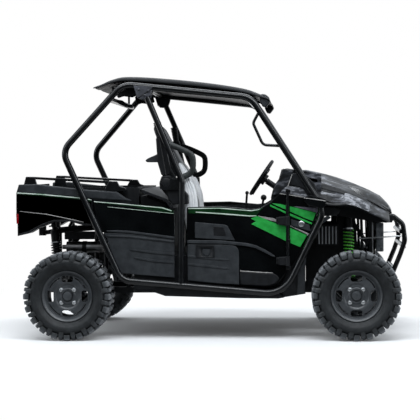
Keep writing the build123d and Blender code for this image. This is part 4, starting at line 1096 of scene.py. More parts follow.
# ---------------------------------------------------------------- tail lamps
# A red plastic lens in a black bezel at each rear corner of the bed, held by screws from
# behind, with a narrow side lens round the corner.
# Smooth red acrylic: its patches of deep and bright red are painted reflections of the reflector
# behind, and its small glints come from the bumped surface.
red_lens = grained_finish(
    "red lamp lens", "#7c0a10", (5.0, 0.4, 1.0), (18, "#52040a", "#96141a"), roughness=0.12,
    Coat_Weight=0.6, Coat_Roughness=0.05,
)
bezel = plate(
    "tail_lamp_bezel", [(-1497, 916), (-1497, 992), (-1476, 996), (-1474, 912)], 688, 592, 3
)
lens = plate(
    "tail_lamp_lens", [(-1499.5, 924), (-1499.5, 984), (-1486, 986), (-1486, 922)], 682, 598, 4
)
dress_pair(bezel, dark_plastic, ON_BED, right_nodes=("tail_lamps",))
dress_pair(lens, red_lens, ON_BED, slot="lens_red")
pair(
    "side_lamp_lens", red_lens, [(-1498, 970), (-1478, 964), (-1480, 890), (-1495, 890)], 696, 686,
    4, bodies=ON_BED, slot="lens_red",
)

# ---------------------------------------------------------------- tailgate
# A steel pressing with three sunk panels, painted black. It turns on the bed's rear edge and
# has a pull handle in the middle of its top.
tailgate = plate(
    "tailgate_press", [(-1497, 953), (-1497, 1178), (-1484, 1178), (-1484, 953)], 545, -545, 3
)
sinks = []
for y in (-370, 0, 370):
    sink = plate(
        "sink", [(-1510, 985), (-1510, 1145), (-1492, 1135), (-1492, 995)], -y + 160, -y - 160, 0
    )
    sinks.append(sink)
cut_with(tailgate, sinks)
round_edges(tailgate, 2.5, 2, 30)
handle = plate(
    "tailgate_handle", [(-1499, 1148), (-1499, 1166), (-1494, 1170), (-1494, 1144)], 60, -60, 2
)
dress(join([tailgate, handle], "tailgate_press"), dark_plastic, "tailgate", "painted_steel")
repaint("tailgate", dark_plastic)


# ---------------------------------------------------------------- hood and front fenders
# Thin plastic mouldings wrapped in a grey and black camouflage film, with a matt clear coat.
# The hood is crowned with a raised middle and creased shoulders; the fenders roll down to a lip.

# place along the noise, colour
CAMO_TONES = (
    (0.0, "#0b0c0e"), (0.42, "#101113"), (0.46, "#1b1d20"), (0.53, "#26282c"), (0.57, "#45474c"),
    (0.66, "#63656b"),
)
# A lit copy of the camouflage film: the same print in paler tones, as painted light.
LIT_CAMO_TONES = (
    (0.0, "#303236"), (0.40, "#3c3e42"), (0.46, "#6a6c71"), (0.53, "#8b8d92"), (0.60, "#54565b"),
    (0.68, "#a2a4a8"),
)


def camouflage(name, tones, patch_mm):
    """A printed film of hard-edged, stretched patches; its shine is soft and weak."""
    material, shader, tree = new_finish(name, "#2c2e31", roughness=0.4, Specular_IOR_Level=0.3)
    place, _ = add_grain(tree, shader, 6.0, 0.12)
    stretch = add_node(
        tree, "ShaderNodeMapping", {"Scale": (0.55, 1.0, 1.5), "Rotation": (0, radians(18), 0)},
        {"Vector": place.outputs["Object"]},
    )
    shapes = add_node(
        tree, "ShaderNodeTexNoise",
        {"Scale": 1 / (patch_mm * MM), "Detail": 3.0, "Roughness": 0.55, "Distortion": 0.25},
        {"Vector": stretch.outputs["Vector"]},
    )
    ramp = add_node(tree, "ShaderNodeValToRGB", links={"Fac": shapes.outputs["Fac"]})
    ramp.color_ramp.interpolation = "CONSTANT"
    set_tones(ramp, tones)
    tree.links.new(ramp.outputs["Color"], shader.inputs["Base Color"])
    return material


# The hood's copy of the film is toned lighter than the fenders': painted light on its sky-facing
# top.
LIT_HOOD_TONES = (
    (0.0, "#121315"), (0.42, "#191a1d"), (0.46, "#2b2d31"), (0.53, "#3a3c41"), (0.58, "#5c5e64"),
    (0.66, "#7d7f85"),
)
camo_film = camouflage("camouflage film", CAMO_TONES, 75)
lit_hood_film = camouflage("camouflage film on the hood", LIT_HOOD_TONES, 75)
lit_camo_film = camouflage("camouflage film painted lit", LIT_CAMO_TONES, 45)


def skin(name, rows, thickness, levels=2):
    """A shell through rows of (X, Y, Z) points in millimetres, smoothed by subdivision."""
    deselect()
    across, along = len(rows[0]) - 1, len(rows) - 1
    bpy.ops.mesh.primitive_grid_add(x_subdivisions=across, y_subdivisions=along, size=2)
    piece = bpy.context.object
    piece.name = name
    for vertex in piece.data.vertices:
        i = round((vertex.co.x + 1) / 2 * across)
        j = round((vertex.co.y + 1) / 2 * along)
        vertex.co = [value * MM for value in rows[j][i]]
    edit(piece)
    close_edit()
    if sum(face.normal.z for face in piece.data.polygons) < 0:
        piece.data.flip_normals()
    if thickness:
        apply_modifier(piece, "SOLIDIFY", thickness=thickness * MM, offset=-1.0)
    apply_modifier(piece, "SUBSURF", levels=levels, render_levels=levels)
    bpy.ops.object.shade_smooth_by_angle(angle=radians(50))
    return piece


# X, crown Z, edge Z, half width
HOOD_SECTIONS = (
    (712, 1284, 1240, 385), (780, 1268, 1226, 385), (870, 1249, 1202, 385), (980, 1215, 1167, 385),
    (1085, 1176, 1131, 385), (1203, 1126, 1084, 381), (1291, 1078, 1040, 376),
    (1345, 1024, 998, 368), (1368, 990, 968, 362),
)
# share of the half width, share of the rise from edge to crown
HOOD_SHAPE = (
    (-1.0, -0.35), (-0.985, 0.1), (-0.88, 0.36), (-0.62, 0.62), (-0.56, 0.94), (-0.3, 1.0),
    (0.0, 1.02),
)
HOOD_SHAPE += tuple((-share, rise) for share, rise in reversed(HOOD_SHAPE[:-1]))
hood_rows = [
    [(x, half * share, edge_z + (crown_z - edge_z) * rise) for share, rise in HOOD_SHAPE]
    for x, crown_z, edge_z, half in HOOD_SECTIONS
]
hood_skin = skin("hood_skin", hood_rows, 5)
dress(hood_skin, lit_hood_film, "hood", "camo_plastic")
repaint("hood", lit_hood_film)
LINER_DROP = 18
hood_liner = skin(
    "hood_liner", [[(x, y * 0.95, z - LINER_DROP) for x, y, z in row] for row in hood_rows], 2
)
dress(hood_liner, dark_plastic, "hood", "black_plastic")

FENDER_IN_Y = 404
# X, inner Z, shoulder |Y|, shoulder Z, lip |Y|, lip Z
FENDER_SECTIONS = (
    (800, 1226, 560, 1196, 700, 1034), (870, 1212, 560, 1186, 702, 1014),
    (954, 1186, 580, 1148, 703, 1008), (1010, 1168, 590, 1128, 704, 1018),
    (1069, 1146, 590, 1102, 702, 1010), (1125, 1120, 578, 1076, 697, 986),
    (1182, 1096, 560, 1046, 690, 957), (1240, 1068, 532, 1018, 668, 930),
    (1290, 1044, 500, 986, 640, 906), (1348, 996, 450, 956, 560, 884),
)
fender_rows = []
for x, in_z, shoulder_y, shoulder_z, lip_y, lip_z in FENDER_SECTIONS:
    drop = shoulder_z - lip_z
    fender_rows.append(
        (
            (x, -FENDER_IN_Y + 2, in_z - 12), (x, -FENDER_IN_Y, in_z),
            (x, -(FENDER_IN_Y + shoulder_y) / 2, (in_z + shoulder_z) / 2 + 6),
            (x, -shoulder_y + 6, shoulder_z + 3), (x, -shoulder_y - 8, shoulder_z - 8),
            (x, -(shoulder_y + lip_y) / 2, lip_z + drop * 0.55), (x, -lip_y, lip_z + 18),
            (x, -lip_y - 3, lip_z + 4), (x, -lip_y + 4, lip_z - 2), (x, -lip_y + 22, lip_z + 2),
        ),
    )
fender = skin("fender_skin", fender_rows, 4)
dress_pair(fender, camo_film, slot="camo_plastic")
repaint("front_fenders", camo_film)


def over_fender(name, x_values, top_share, foot_share, lift):
    """A film panel on the fender's side, between two shares of the way from shoulder to lip."""
    rows = []
    for x in x_values:
        following = [section for section in FENDER_SECTIONS if section[0] > x]
        ahead = following[0]
        behind = FENDER_SECTIONS[FENDER_SECTIONS.index(ahead) - 1]
        part = (x - behind[0]) / (ahead[0] - behind[0])
        _, _, shoulder_y, shoulder_z, lip_y, lip_z = (
            a + (b - a) * part for a, b in zip(behind, ahead)
        )
        row = []
        for column in range(5):
            share = top_share + (foot_share - top_share) * column / 4
            y = shoulder_y + (lip_y - shoulder_y) * share
            z = shoulder_z + (lip_z - shoulder_z) * share
            rise = lift if column in (1, 2, 3) else lift - 5
            row.append((x, -y - rise - 4, z + rise + 4))
        rows.append(row)
    return skin(name, rows, 3, 1)


# name, X values, shares from shoulder to lip, lift, finish
FENDER_FILMS = (
    # The dark band under the shoulder is painted shade, standing for a recess.
    ("fender_painted_shade_band", (822, 900, 980, 1026), 0.04, 0.34, 4, dark_plastic),
    # The pale strip and the pod are in the lit copy of the film: painted light.
    ("fender_highlight_strip", (822, 900, 980, 1060), 0.44, 0.64, 5, lit_camo_film),
    ("fender_lower_strip", (822, 900, 980, 1050), 0.80, 0.86, 5, smoke_film),
    ("fender_pod", (1002, 1040, 1088, 1130, 1196), 0.22, 1.0, 9, lit_camo_film),
)
for name, x_values, top_share, foot_share, lift, film in FENDER_FILMS:
    panel = over_fender(name, x_values, top_share, foot_share, lift)
    dress_pair(panel, film, slot="camo_plastic")

# ---------------------------------------------------------------- scuttle and arch liners
# The scuttle carries the fender's lines back over the door's front corner to the windscreen
# pillar. A camouflaged end cap closes the dashboard, a black bracket bolts the pillar down, and
# a lacquered cap covers the frame's bend. Thin silver bands along the foot and up the bracket's
# seam are painted highlights on its creases.
# name, finish, (X, Z) outline, outer and inner |Y|
SCUTTLE_PARTS = (
    (
        "dash_end_cap", camo_film,
        [
            (541, 1296), (621, 1276), (612, 1252), (580, 1160), (524, 1110), (464, 1094),
            (476, 1156), (514, 1221),
        ],
        700, 630,
    ),
    (
        # The scuttle's side is in the lit copy of the film: painted light.
        "scuttle_side", lit_camo_film,
        [(576, 1172), (690, 1150), (722, 1100), (813, 1083), (818, 1060), (588, 1099), (513, 1110)],
        706, 600,
    ),
    (
        "pillar_bracket", dark_plastic,
        [
            (603, 1258), (659, 1266), (701, 1254), (776, 1184), (809, 1090), (722, 1096),
            (690, 1150), (589, 1172),
        ],
        716, 600,
    ),
    (
        # The hood's lighter copy of the film: painted light.
        "scuttle_top", lit_hood_film,
        [(620, 1276), (712, 1280), (830, 1252), (830, 1090), (720, 1090), (620, 1200)],
        640, 400,
    ),
    (
        "bend_cap", gloss_black,
        [
            (690, 1077), (743, 1098), (817, 1080), (860, 1064), (862, 1020), (822, 988),
            (796, 1000), (730, 1016), (696, 1050),
        ],
        764, 690,
    ),
)
for name, finish, outline, outer, inner in SCUTTLE_PARTS:
    dress_pair(plate(name, outline, outer, inner, 8), finish, slot="camo_plastic")
# Silver bands painted on the creases: painted highlights.
crease_highlights = [
    plate("crease", band(((515, 1107, 2), (588, 1097, 3), (690, 1079, 3))), 709, 700, 2),
    plate("crease", band(((694, 1076, 2), (817, 1059, 3.5), (862, 1050, 2))), 767, 754, 2),
    plate("crease", [(606, 1250), (612, 1250), (580, 1156), (573, 1156)], 719, 700, 2),
]
dress_pair(join(crease_highlights, "scuttle_crease_highlight"), silver_film)

# Black splash guards close the sides of the front frame behind the dampers, with an opening
# above the cooler; a bracket ties each front bend of the cab frame to the fender.
SPLASH = (
    (708, 340), (708, 862), (846, 862), (950, 858), (968, 930), (1020, 968), (1090, 960),
    (1104, 850), (1112, 700), (1150, 640), (1250, 632), (1250, 372), (1000, 340),
)
pair("splash_guard", dark_plastic, SPLASH, 262, 254, 3, 2)
pair(
    "arch_liner", charcoal_plastic,
    [
        (700, 350), (640, 340), (650, 560), (700, 720), (760, 862), (880, 940), (900, 922),
        (790, 850), (722, 720), (706, 560),
    ],
    688, 560, 5,
)
# Liners, posts and a brace in each wheel arch: name, (X, Z) outline, outer and inner |Y|
ARCH_PARTS = (
    (
        "bend_bracket",
        [(790, 1010), (850, 1030), (880, 1000), (930, 1000), (975, 980), (943, 936), (850, 934)],
        640, 600,
    ),
    (
        "upper_liner",
        [(930, 1030), (1040, 1030), (1180, 980), (1330, 900), (1330, 872), (1120, 900), (968, 930)],
        470, 440,
    ),
    ("tower_post", [(1130, 930), (1152, 930), (1160, 640), (1138, 640)], 330, 300),
    ("tower_post", [(1196, 930), (1226, 920), (1226, 640), (1204, 640)], 300, 262),
    ("tower_brace", [(1040, 930), (1058, 930), (1196, 720), (1196, 690), (1178, 690)], 296, 280),
)
for name, outline, outer, inner in ARCH_PARTS:
    dress_pair(plate(name, outline, outer, inner, 4), dark_plastic)

# ---------------------------------------------------------------- headlamps
# Clear polycarbonate over a dark reflector, set into the fender beside the hood and clipped to
# the front fascia.
# The cover reads as near black; its few grey patches are painted reflections of the reflector, and
# its blurred glints come from the coat.
lamp_glass = grained_finish(
    "clear lamp cover", "#0b0d10", (9.0, 0.5, 1.0), (30, "#08090b", "#3a3f45", 0.5, 0.75),
    roughness=0.32, Coat_Weight=0.12, Coat_Roughness=0.2,
)
# X, inner Z, outer |Y|, outer Z, how proud the cover stands
LAMP_SECTIONS = (
    (1036, 1160, 480, 1148, 4), (1100, 1134, 540, 1098, 26), (1182, 1100, 560, 1052, 34),
    (1250, 1068, 535, 1018, 32), (1300, 1040, 500, 986, 24), (1346, 1002, 452, 962, 12),
)
LAMP_IN_Y = 412
lamp_rows = [
    (
        (x, -LAMP_IN_Y + 6, in_z), (x, -LAMP_IN_Y, in_z + rise),
        (x, -(LAMP_IN_Y + out_y) / 2, (in_z + out_z) / 2 + rise * 1.15),
        (x, -out_y + 22, out_z + rise * 0.55), (x, -out_y, out_z),
    )
    for x, in_z, out_y, out_z, rise in LAMP_SECTIONS
]
lamp_cover = skin("headlamp_cover", lamp_rows, 3)
dress_pair(lamp_cover, lamp_glass, slot="lens_clear")
repaint("headlamps", lamp_glass)
repaint("front_fascia", dark_plastic)


# ---------------------------------------------------------------- roof
# One moulded plastic panel clamped over the roof tubes. It has a rolled rim, two long raised
# ribs and a sunk middle, and its front edge turns down as a visor.
ROOF_HALF = 640
HEADLINER_HALF = 628
# X, top Z, depth
ROOF_SECTIONS = (
    (-903, 1929, 14), (-870, 1940, 18), (-833, 1952, 22), (-783, 1978, 26), (-720, 1996, 30),
    (-671, 2008, 32), (-500, 2002, 36), (-276, 1981, 38), (-100, 1962, 38), (64, 1939, 36),
    (180, 1919, 34), (291, 1897, 32), (369, 1860, 28), (429, 1843, 20), (450, 1811, 8),
)
# share of the half width, share of the section's depth below its top
ROOF_SHAPE = (
    (-1.0, 1.0), (-1.0, 0.35), (-0.975, 0.05), (-0.93, 0.0), (-0.86, 0.08), (-0.80, 0.45),
    (-0.55, 0.42), (-0.52, 0.08), (-0.36, 0.05), (-0.33, 0.40), (0.0, 0.30),
)
ROOF_SHAPE += tuple((-share, drop) for share, drop in reversed(ROOF_SHAPE[:-1]))
roof_rows = [
    [(x, ROOF_HALF * share, top_z - depth * drop) for share, drop in ROOF_SHAPE]
    for x, top_z, depth in ROOF_SECTIONS
]
roof_shell = skin("roof_shell", roof_rows, 5)
# Thick grained plastic: dark grey, and paler where it faces the sky.
roof_plastic = grained_finish(
    "grained roof plastic", "#1c1e20", (1.8, 0.4), (80, "#181a1c", "#242628"), roughness=0.5,
    Specular_IOR_Level=0.3,
)
dress(roof_shell, roof_plastic, "chassis", "black_plastic", "roof_panel")
liner_rows = [
    [
        (x, HEADLINER_HALF * share, top_z - depth - drop)
        for share, drop in ((-1, 34), (-0.9, 20), (0, 10), (0.9, 20), (1, 34))
    ]
    for x, top_z, depth in ROOF_SECTIONS[3:-3]
]
headliner = skin("roof_liner", liner_rows, 4)
dress(headliner, dark_plastic, "chassis", "black_plastic")

# ---------------------------------------------------------------- dashboard, cabin and floor
# Black moulded plastic dashboard with a hooded pod, screwed to the cab frame; the floor, seat
# base and bulkhead are black plastic and sheet steel with a light grain.
dress(
    plate(
        "dash_pod",
        [
            (449, 1046), (451, 1086), (470, 1164), (508, 1216), (528, 1262), (532, 1288),
            (560, 1294), (690, 1276), (700, 1200), (620, 1100),
        ],
        628, -628, 12, 4,
    ),
    dark_plastic, "chassis", "black_plastic",
)
dress(
    plate(
        "engine_cover",
        [(-556, 1100), (-520, 1092), (-428, 1058), (-352, 1034), (-352, 900), (-556, 900)],
        560, -560, 10, 3,
    ),
    dark_plastic, "chassis", "black_plastic",
)
for node in (
    "dashboard", "floor_pan", "rear_bulkhead", "control_levers", "steering_wheel", "seat_box"
):
    repaint(node, dark_plastic)


# ---------------------------------------------------------------- seats
# Two bucket seats of foam under stitched vinyl, on rails on the seat box: black middles, and
# silver-grey bolsters with long pleats. The headrests are tall and narrow, in black vinyl.
# Vinyl has a leathery grain under a low sheen, which softens the black of the foam pads.
black_vinyl = grained_finish(
    "black seat vinyl", "#17191b", (2.2, 0.4), (70, "#131517", "#212426"), roughness=0.5,
    Specular_IOR_Level=0.35, Sheen_Weight=0.15,
)
# The pale vinyl has the same grain, and a slightly brighter shine.
grey_vinyl = grained_finish(
    "silver-grey seat vinyl", "#eef0f2", (2.2, 0.4), (90, "#e0e3e6", "#fbfcfd"), roughness=0.42,
    Sheen_Weight=0.2,
)
VOXEL = 0.009
SLIDE_BACK_MM = 72
SIM_FRAMES = 14
PAD_PRESSURE = 4.0
CLOTH_STIFFNESS = 12


def puff(piece, cap_mm):
    """Swells a closed pad as foam under cloth, no point moving further than the cap."""
    piece.data.remesh_voxel_size = VOXEL
    choose(piece)
    bpy.ops.object.voxel_remesh()
    rest = [vertex.co.copy() for vertex in piece.data.vertices]
    cloth = piece.modifiers.new("cloth", "CLOTH")
    cloth.settings.quality = 3
    cloth.settings.use_pressure = True
    cloth.settings.uniform_pressure_force = PAD_PRESSURE
    cloth.settings.tension_stiffness = CLOTH_STIFFNESS
    cloth.settings.compression_stiffness = CLOTH_STIFFNESS
    cloth.settings.effector_weights.gravity = 0
    cloth.point_cache.frame_end = SIM_FRAMES
    for step in range(1, SIM_FRAMES + 1):
        scene.frame_set(step)
    bpy.ops.object.modifier_apply(modifier=cloth.name)
    scene.frame_set(1)
    for vertex, start in zip(piece.data.vertices, rest):
        moved = vertex.co - start
        if moved.length > cap_mm * MM:
            vertex.co = start + moved * (cap_mm * MM / moved.length)
    apply_modifier(piece, "SMOOTH", factor=0.5, iterations=6)
    apply_modifier(piece, "DECIMATE", ratio=0.7)
    apply_modifier(piece, "SUBSURF", levels=1, render_levels=1)
    bpy.ops.object.shade_smooth()


CUSHION_SIDE = [(-70, 670), (372, 670), (392, 728), (360, 782), (260, 790), (60, 770), (-70, 766)]
# name, finish, (X, Z) outline, outer and inner |Y|, how far it swells, fill
SEAT_PADS = (
    (
        "cushion_middle", black_vinyl,
        [(-76, 664), (370, 664), (396, 726), (362, 772), (260, 780), (60, 758), (-76, 752)],
        490, 170, 14, 0.6,
    ),
    ("cushion_outer", grey_vinyl, CUSHION_SIDE, 568, 498, 10, 0.7),
    ("cushion_inner", grey_vinyl, CUSHION_SIDE, 162, 92, 10, 0.7),
    (
        "back_middle", black_vinyl,
        [
            (-196, 690), (-106, 690), (-116, 800), (-142, 1040), (-194, 1214), (-286, 1214),
            (-250, 1050), (-202, 800),
        ],
        480, 180, 12, 0.6,
    ),
    (
        "back_outer", grey_vinyl,
        [
            (-190, 700), (-116, 700), (-116, 1000), (-124, 1098), (-146, 1172), (-176, 1236),
            (-214, 1310), (-250, 1352), (-262, 1340), (-232, 1236), (-232, 1150), (-242, 1060),
            (-196, 800),
        ],
        568, 488, 10, 0.7,
    ),
    (
        "back_inner", grey_vinyl,
        [
            (-190, 700), (-104, 700), (-102, 1000), (-108, 1088), (-136, 1169), (-166, 1236),
            (-224, 1236), (-236, 1150), (-242, 1060), (-196, 800),
        ],
        172, 92, 10, 0.7,
    ),
    (
        "headrest", black_vinyl,
        [
            (-200, 1240), (-386, 1590), (-415, 1634), (-448, 1644), (-464, 1630), (-330, 1290),
            (-300, 1240),
        ],
        478, 182, 8, 0.7,
    ),
)


def slide_back(name):
    """The driver's seat stands further back on its rails than the passenger's."""
    bpy.data.objects[name].data.transform(Matrix.Translation((-SLIDE_BACK_MM * MM, 0, 0)))


for name, vinyl, outline, outer, inner, swell, fill in SEAT_PADS:
    pad = plate(f"seat_{name}", outline, outer, inner, 0)
    puff(pad, swell)
    node = "seat_cushions" if name.startswith("cushion") else "seat_backs"
    dress_pair(pad, vinyl, slot="seat_fabric", right_nodes=(node,))
    slide_back(f"seat_{name}_left")

# Sewn pleats on the outer bolsters: long rolls of vinyl that curve forward to the shoulder.
PLEAT_LINES = (
    ((-222, 1222), (-196, 1150), (-182, 1090), (-178, 1022), (-184, 800)),
    ((-206, 1226), (-178, 1150), (-162, 1090), (-160, 1022), (-164, 800)),
    ((-192, 1230), (-161, 1158), (-143, 1090), (-140, 1026), (-142, 800)),
    ((-178, 1234), (-143, 1166), (-121, 1098), (-115, 1026), (-115, 800)),
)
rolls = []
for rear, front in zip(PLEAT_LINES, PLEAT_LINES[1:]):
    outline = [(x + 1.5, z) for x, z in rear] + [(x - 1.5, z) for x, z in reversed(front)]
    rolls.append(plate("roll", outline, 580, 560, 9, 4))
dress_pair(join(rolls, "seat_pleats"), grey_vinyl, slot="seat_fabric")
pair(
    "trim", grey_vinyl, [(-441, 1530), (-414, 1538), (-398, 1416), (-428, 1412)], 486, 440, 6,
    slot="seat_fabric",
)
for name in ("seat_pleats_left", "trim_left"):
    slide_back(name)


# ---------------------------------------------------------------- cab frame fittings
# Folded steel gussets are bolted over the joint of each B pillar and roof tube. A stepped
# bracket hangs from the rear crossbar, and clamps hold the visor's corners.
GUSSET_UPPER = [(-585, 1933), (-439, 1921), (-446, 1908), (-556, 1838), (-571, 1887)]
GUSSET_LOWER = [(-443, 1903), (-453, 1860), (-495, 1832), (-552, 1832)]
gusset = [
    plate("gusset_upper", GUSSET_UPPER, 686, 680, 2),
    plate("gusset_lower", GUSSET_LOWER, 684, 660, 4),
    plate(
        "gusset_inner",
        [(-575, 1918), (-438, 1902), (-453, 1845), (-500, 1822), (-530, 1824), (-560, 1868)],
        632, 628, 2,
    ),
]
for x, z in ((-545, 1905), (-470, 1893), (-500, 1860)):
    bolt = turned("bolt", [(0, 0.01), (0, 7), (-2, 8.5), (-7, 8.5), (-8, 7), (-8, 0.01)], steps=12)
    bolt.data.transform(Matrix.Translation((x * MM, -0.686, z * MM)))
    gusset.append(bolt)
# A greyer powder coat than the tubes have, with a duller shine.
grey_coat = grained_finish(
    "dark grey powder coat", "#3c3e44", (2.5, 0.1), (60, "#34363b", "#4a4c53"), roughness=0.4
)
dress_pair(join(gusset, "roof_gusset"), grey_coat, slot="frame_steel")
pair(
    "rear_header", dark_plastic,
    [
        (-738, 1914), (-694, 1947), (-587, 1941), (-567, 1870), (-610, 1850), (-678, 1860),
        (-721, 1846),
    ],
    560, 544, 5,
)
dress(
    plate(
        "rear_step_bracket",
        [
            (-790, 1852), (-724, 1842), (-698, 1818), (-636, 1796), (-645, 1779), (-698, 1789),
            (-751, 1814),
        ],
        330, 280, 6,
    ),
    charcoal_plastic, "chassis", "black_plastic",
)
pair(
    "visor_clamp", charcoal_plastic,
    [
        (366, 1846), (384, 1862), (412, 1858), (440, 1836), (447, 1800), (416, 1760), (388, 1766),
        (372, 1800),
    ],
    628, 560, 9, 4,
)

# ---------------------------------------------------------------- shoulder guards
# A padded loop beside each seat keeps the shoulder in. It is a flattened steel tube with a
# moulded grey-green sleeve, bolted to the B pillar at both ends.


def tube_along(name, points, radius_mm, resolution=6, flat=1.0):
    """A round bar along a smooth curve through a list of (X, Y, Z) points in millimetres."""
    curve = bpy.data.curves.new(name, "CURVE")
    curve.dimensions = "3D"
    curve.bevel_depth = radius_mm * MM
    curve.bevel_resolution = 3
    curve.resolution_u = resolution
    curve.use_fill_caps = True
    spline = curve.splines.new("NURBS")
    spline.points.add(len(points) - 1)
    for target, (x, y, z) in zip(spline.points, points):
        target.co = (x * MM, y * MM, z * MM, 1)
    spline.use_endpoint_u = True
    spline.order_u = 3
    made = bpy.data.objects.new(name, curve)
    scene.collection.objects.link(made)
    choose(made)
    bpy.ops.object.convert(target="MESH")
    made = bpy.context.object
    if flat != 1.0:
        middle = points[0][1] * MM
        for vertex in made.data.vertices:
            vertex.co.y = middle + (vertex.co.y - middle) * flat
    edit(made)
    close_edit(40)
    return made


# A moulded plastic sleeve: dark grey and dull, with a fine grain.
sleeve_plastic = grained_finish(
    "moulded guard sleeve", "#26292a", (2.0, 0.3), (40, "#1f2222", "#323636"), roughness=0.42,
    Specular_IOR_Level=0.3,
)
GUARD_LINE = (
    (-348, -612, 1496), (-318, -604, 1484), (-256, -600, 1460), (-196, -600, 1432),
    (-148, -600, 1404), (-142, -600, 1352), (-146, -600, 1292), (-166, -600, 1262),
    (-226, -602, 1236), (-256, -620, 1228),
)
guard = tube_along("shoulder_guard", GUARD_LINE, 23, flat=0.62)
twin = copy_of(guard, "shoulder_guard_left", MIRROR)
guard.name = "shoulder_guard_right"
dress(guard, sleeve_plastic, "chassis", "black_plastic", "shoulder_guards")
# The left guard, the same part, is given black plastic: painted shade.
dress(twin, dark_plastic, "chassis", "black_plastic")

# ---------------------------------------------------------------- seat belts
# Black polyester webbing runs from a ribbed guide on the B pillar down to a reel in a plastic
# housing, behind a moulded cover that follows the pillar's foot.
# Woven polyester is dull, with soft edges. The ribs of the weave are drawn 7 mm apart, far
# coarser than real ones, so that they show.
webbing, shader, tree = new_finish("black belt webbing", "#16181a", roughness=0.8, Sheen_Weight=0.3)
place = add_node(tree, "ShaderNodeTexCoord")
ribs_of_weave = add_node(
    tree, "ShaderNodeTexWave",
    {"Scale": 1 / (7 * MM) / 6.28, "Distortion": 0.4, "Detail": 1.0},
    {"Vector": place.outputs["Object"]}, bands_direction="Z",
)
bump = add_node(
    tree, "ShaderNodeBump", {"Strength": 0.6, "Distance": 0.8 * MM},
    {"Height": ribs_of_weave.outputs["Fac"]},
)
tree.links.new(bump.outputs["Normal"], shader.inputs["Normal"])
add_mottle(tree, shader, place, 12, "#121315", "#1e2022")
GUIDE_PLACE = (-0.404, -0.632, 1.594)
REEL_PLACE = (-0.345, -0.668, 1.196)
GUIDE_RIBS = 9
bellows = [(-60, 14)]
for k in range(GUIDE_RIBS):
    bellows += [
        (-60 + 13 * k, 30 - k * 0.6), (-54 + 13 * k, 30 - k * 0.6), (-51 + 13 * k, 24),
        (-49 + 13 * k, 24),
    ]
bellows += [(60, 14)]
guide = turned("belt_guide", [(-60, 0.01)] + bellows + [(60, 0.01)], steps=24)
lean = Matrix.Rotation(radians(-90), 4, "X")
guide.data.transform(Matrix.Translation(GUIDE_PLACE) @ Matrix.Rotation(radians(-9), 4, "Y") @ lean)
reel = plate(
    "belt_reel",
    [(-394, 1146), (-398, 1196), (-380, 1246), (-318, 1252), (-296, 1226), (-292, 1140)],
    668, 604, 9, 3,
)
reel_cap = turned(
    "reel_cap", [(0, 0.01), (0, 30), (-5, 36), (-12, 36), (-15, 30), (-15, 0.01)], steps=32
)
reel_cap.data.transform(Matrix.Translation(REEL_PLACE))
cover = plate(
    "belt_cover",
    [
        (-386, 1144), (-350, 1136), (-330, 1068), (-302, 1028), (-184, 1034), (-180, 1100),
        (-210, 1138), (-262, 1214), (-300, 1240),
    ],
    662, 600, 10, 3,
)
upper_cover = plate(
    "belt_upper_cover",
    [
        (-424, 1536), (-412, 1348), (-384, 1252), (-320, 1252), (-312, 1296), (-338, 1420),
        (-366, 1540),
    ],
    648, 596, 9, 3,
)
belt_body = plate(
    "belt_body",
    [
        (-411, 1348), (-364, 1396), (-309, 1296), (-259, 1211), (-208, 1134), (-179, 1100),
        (-179, 1032), (-303, 1028), (-328, 1067), (-387, 1144), (-395, 1195), (-378, 1245),
    ],
    612, 584, 8,
)
housing = [guide, reel, reel_cap, cover, upper_cover, belt_body]
dress_pair(join(housing, "belt_housing"), dark_plastic)
strap = plate(
    "belt_webbing", [(-402, 1560), (-350, 1250), (-345, 1250), (-397, 1560)], 656, 612, 0.6, 1
)
dress_pair(strap, webbing, slot="seat_fabric")
pair(
    "seat_wing", charcoal_plastic,
    [
        (-512, 1362), (-506, 1372), (-488, 1384), (-440, 1404), (-389, 1430), (-370, 1424),
        (-372, 1380), (-420, 1352), (-496, 1352),
    ],
    600, 400, 10, 4,
)


# ---------------------------------------------------------------- shock absorbers
# Gas dampers with coil springs. The front springs are powder coated green under a silver
# preload collar; the rear ones are black. Each is drawn with a rubber-bushed eye at its top end.
# Bright green powder coat: strong colour, and a soft highlight on each coil.
green_steel = grained_finish(
    "green powder coat", "#4fbf33", (3.0, 0.1), (25, "#3da32a", "#6fd84c"), roughness=0.35
)
# end, X and Z of the top eye, |Y| of it, X and Z of the foot, |Y| of it, spring finish
SHOCKS = (
    ("front", (1034, 985), 380, (1050, 300), 466, green_steel),
    ("rear", (-1262, 860), 400, (-1205, 310), 438, powder_coat),
)
# distance down from the top eye as a share of the length, radius
DAMPER = (
    (0.0, 0.01), (0.0, 16), (0.06, 18), (0.065, 33), (0.22, 33), (0.225, 38), (0.245, 38),
    (0.25, 27), (0.60, 24), (0.605, 12), (0.86, 12), (0.865, 38), (0.885, 38), (0.89, 20),
    (1.0, 18), (1.0, 0.01),
)
SPRING_TOP, SPRING_FOOT, COIL_TURNS, COIL_POINTS = 0.25, 0.80, 15, 8


def along(top, foot):
    """Turns and moves a piece made down the Y axis so that it runs from top to foot."""
    direction = (Vector(foot) - Vector(top)).normalized()
    turn = Vector((0, 1, 0)).rotation_difference(direction).to_matrix().to_4x4()
    return Matrix.Translation(Vector(top) * MM) @ turn


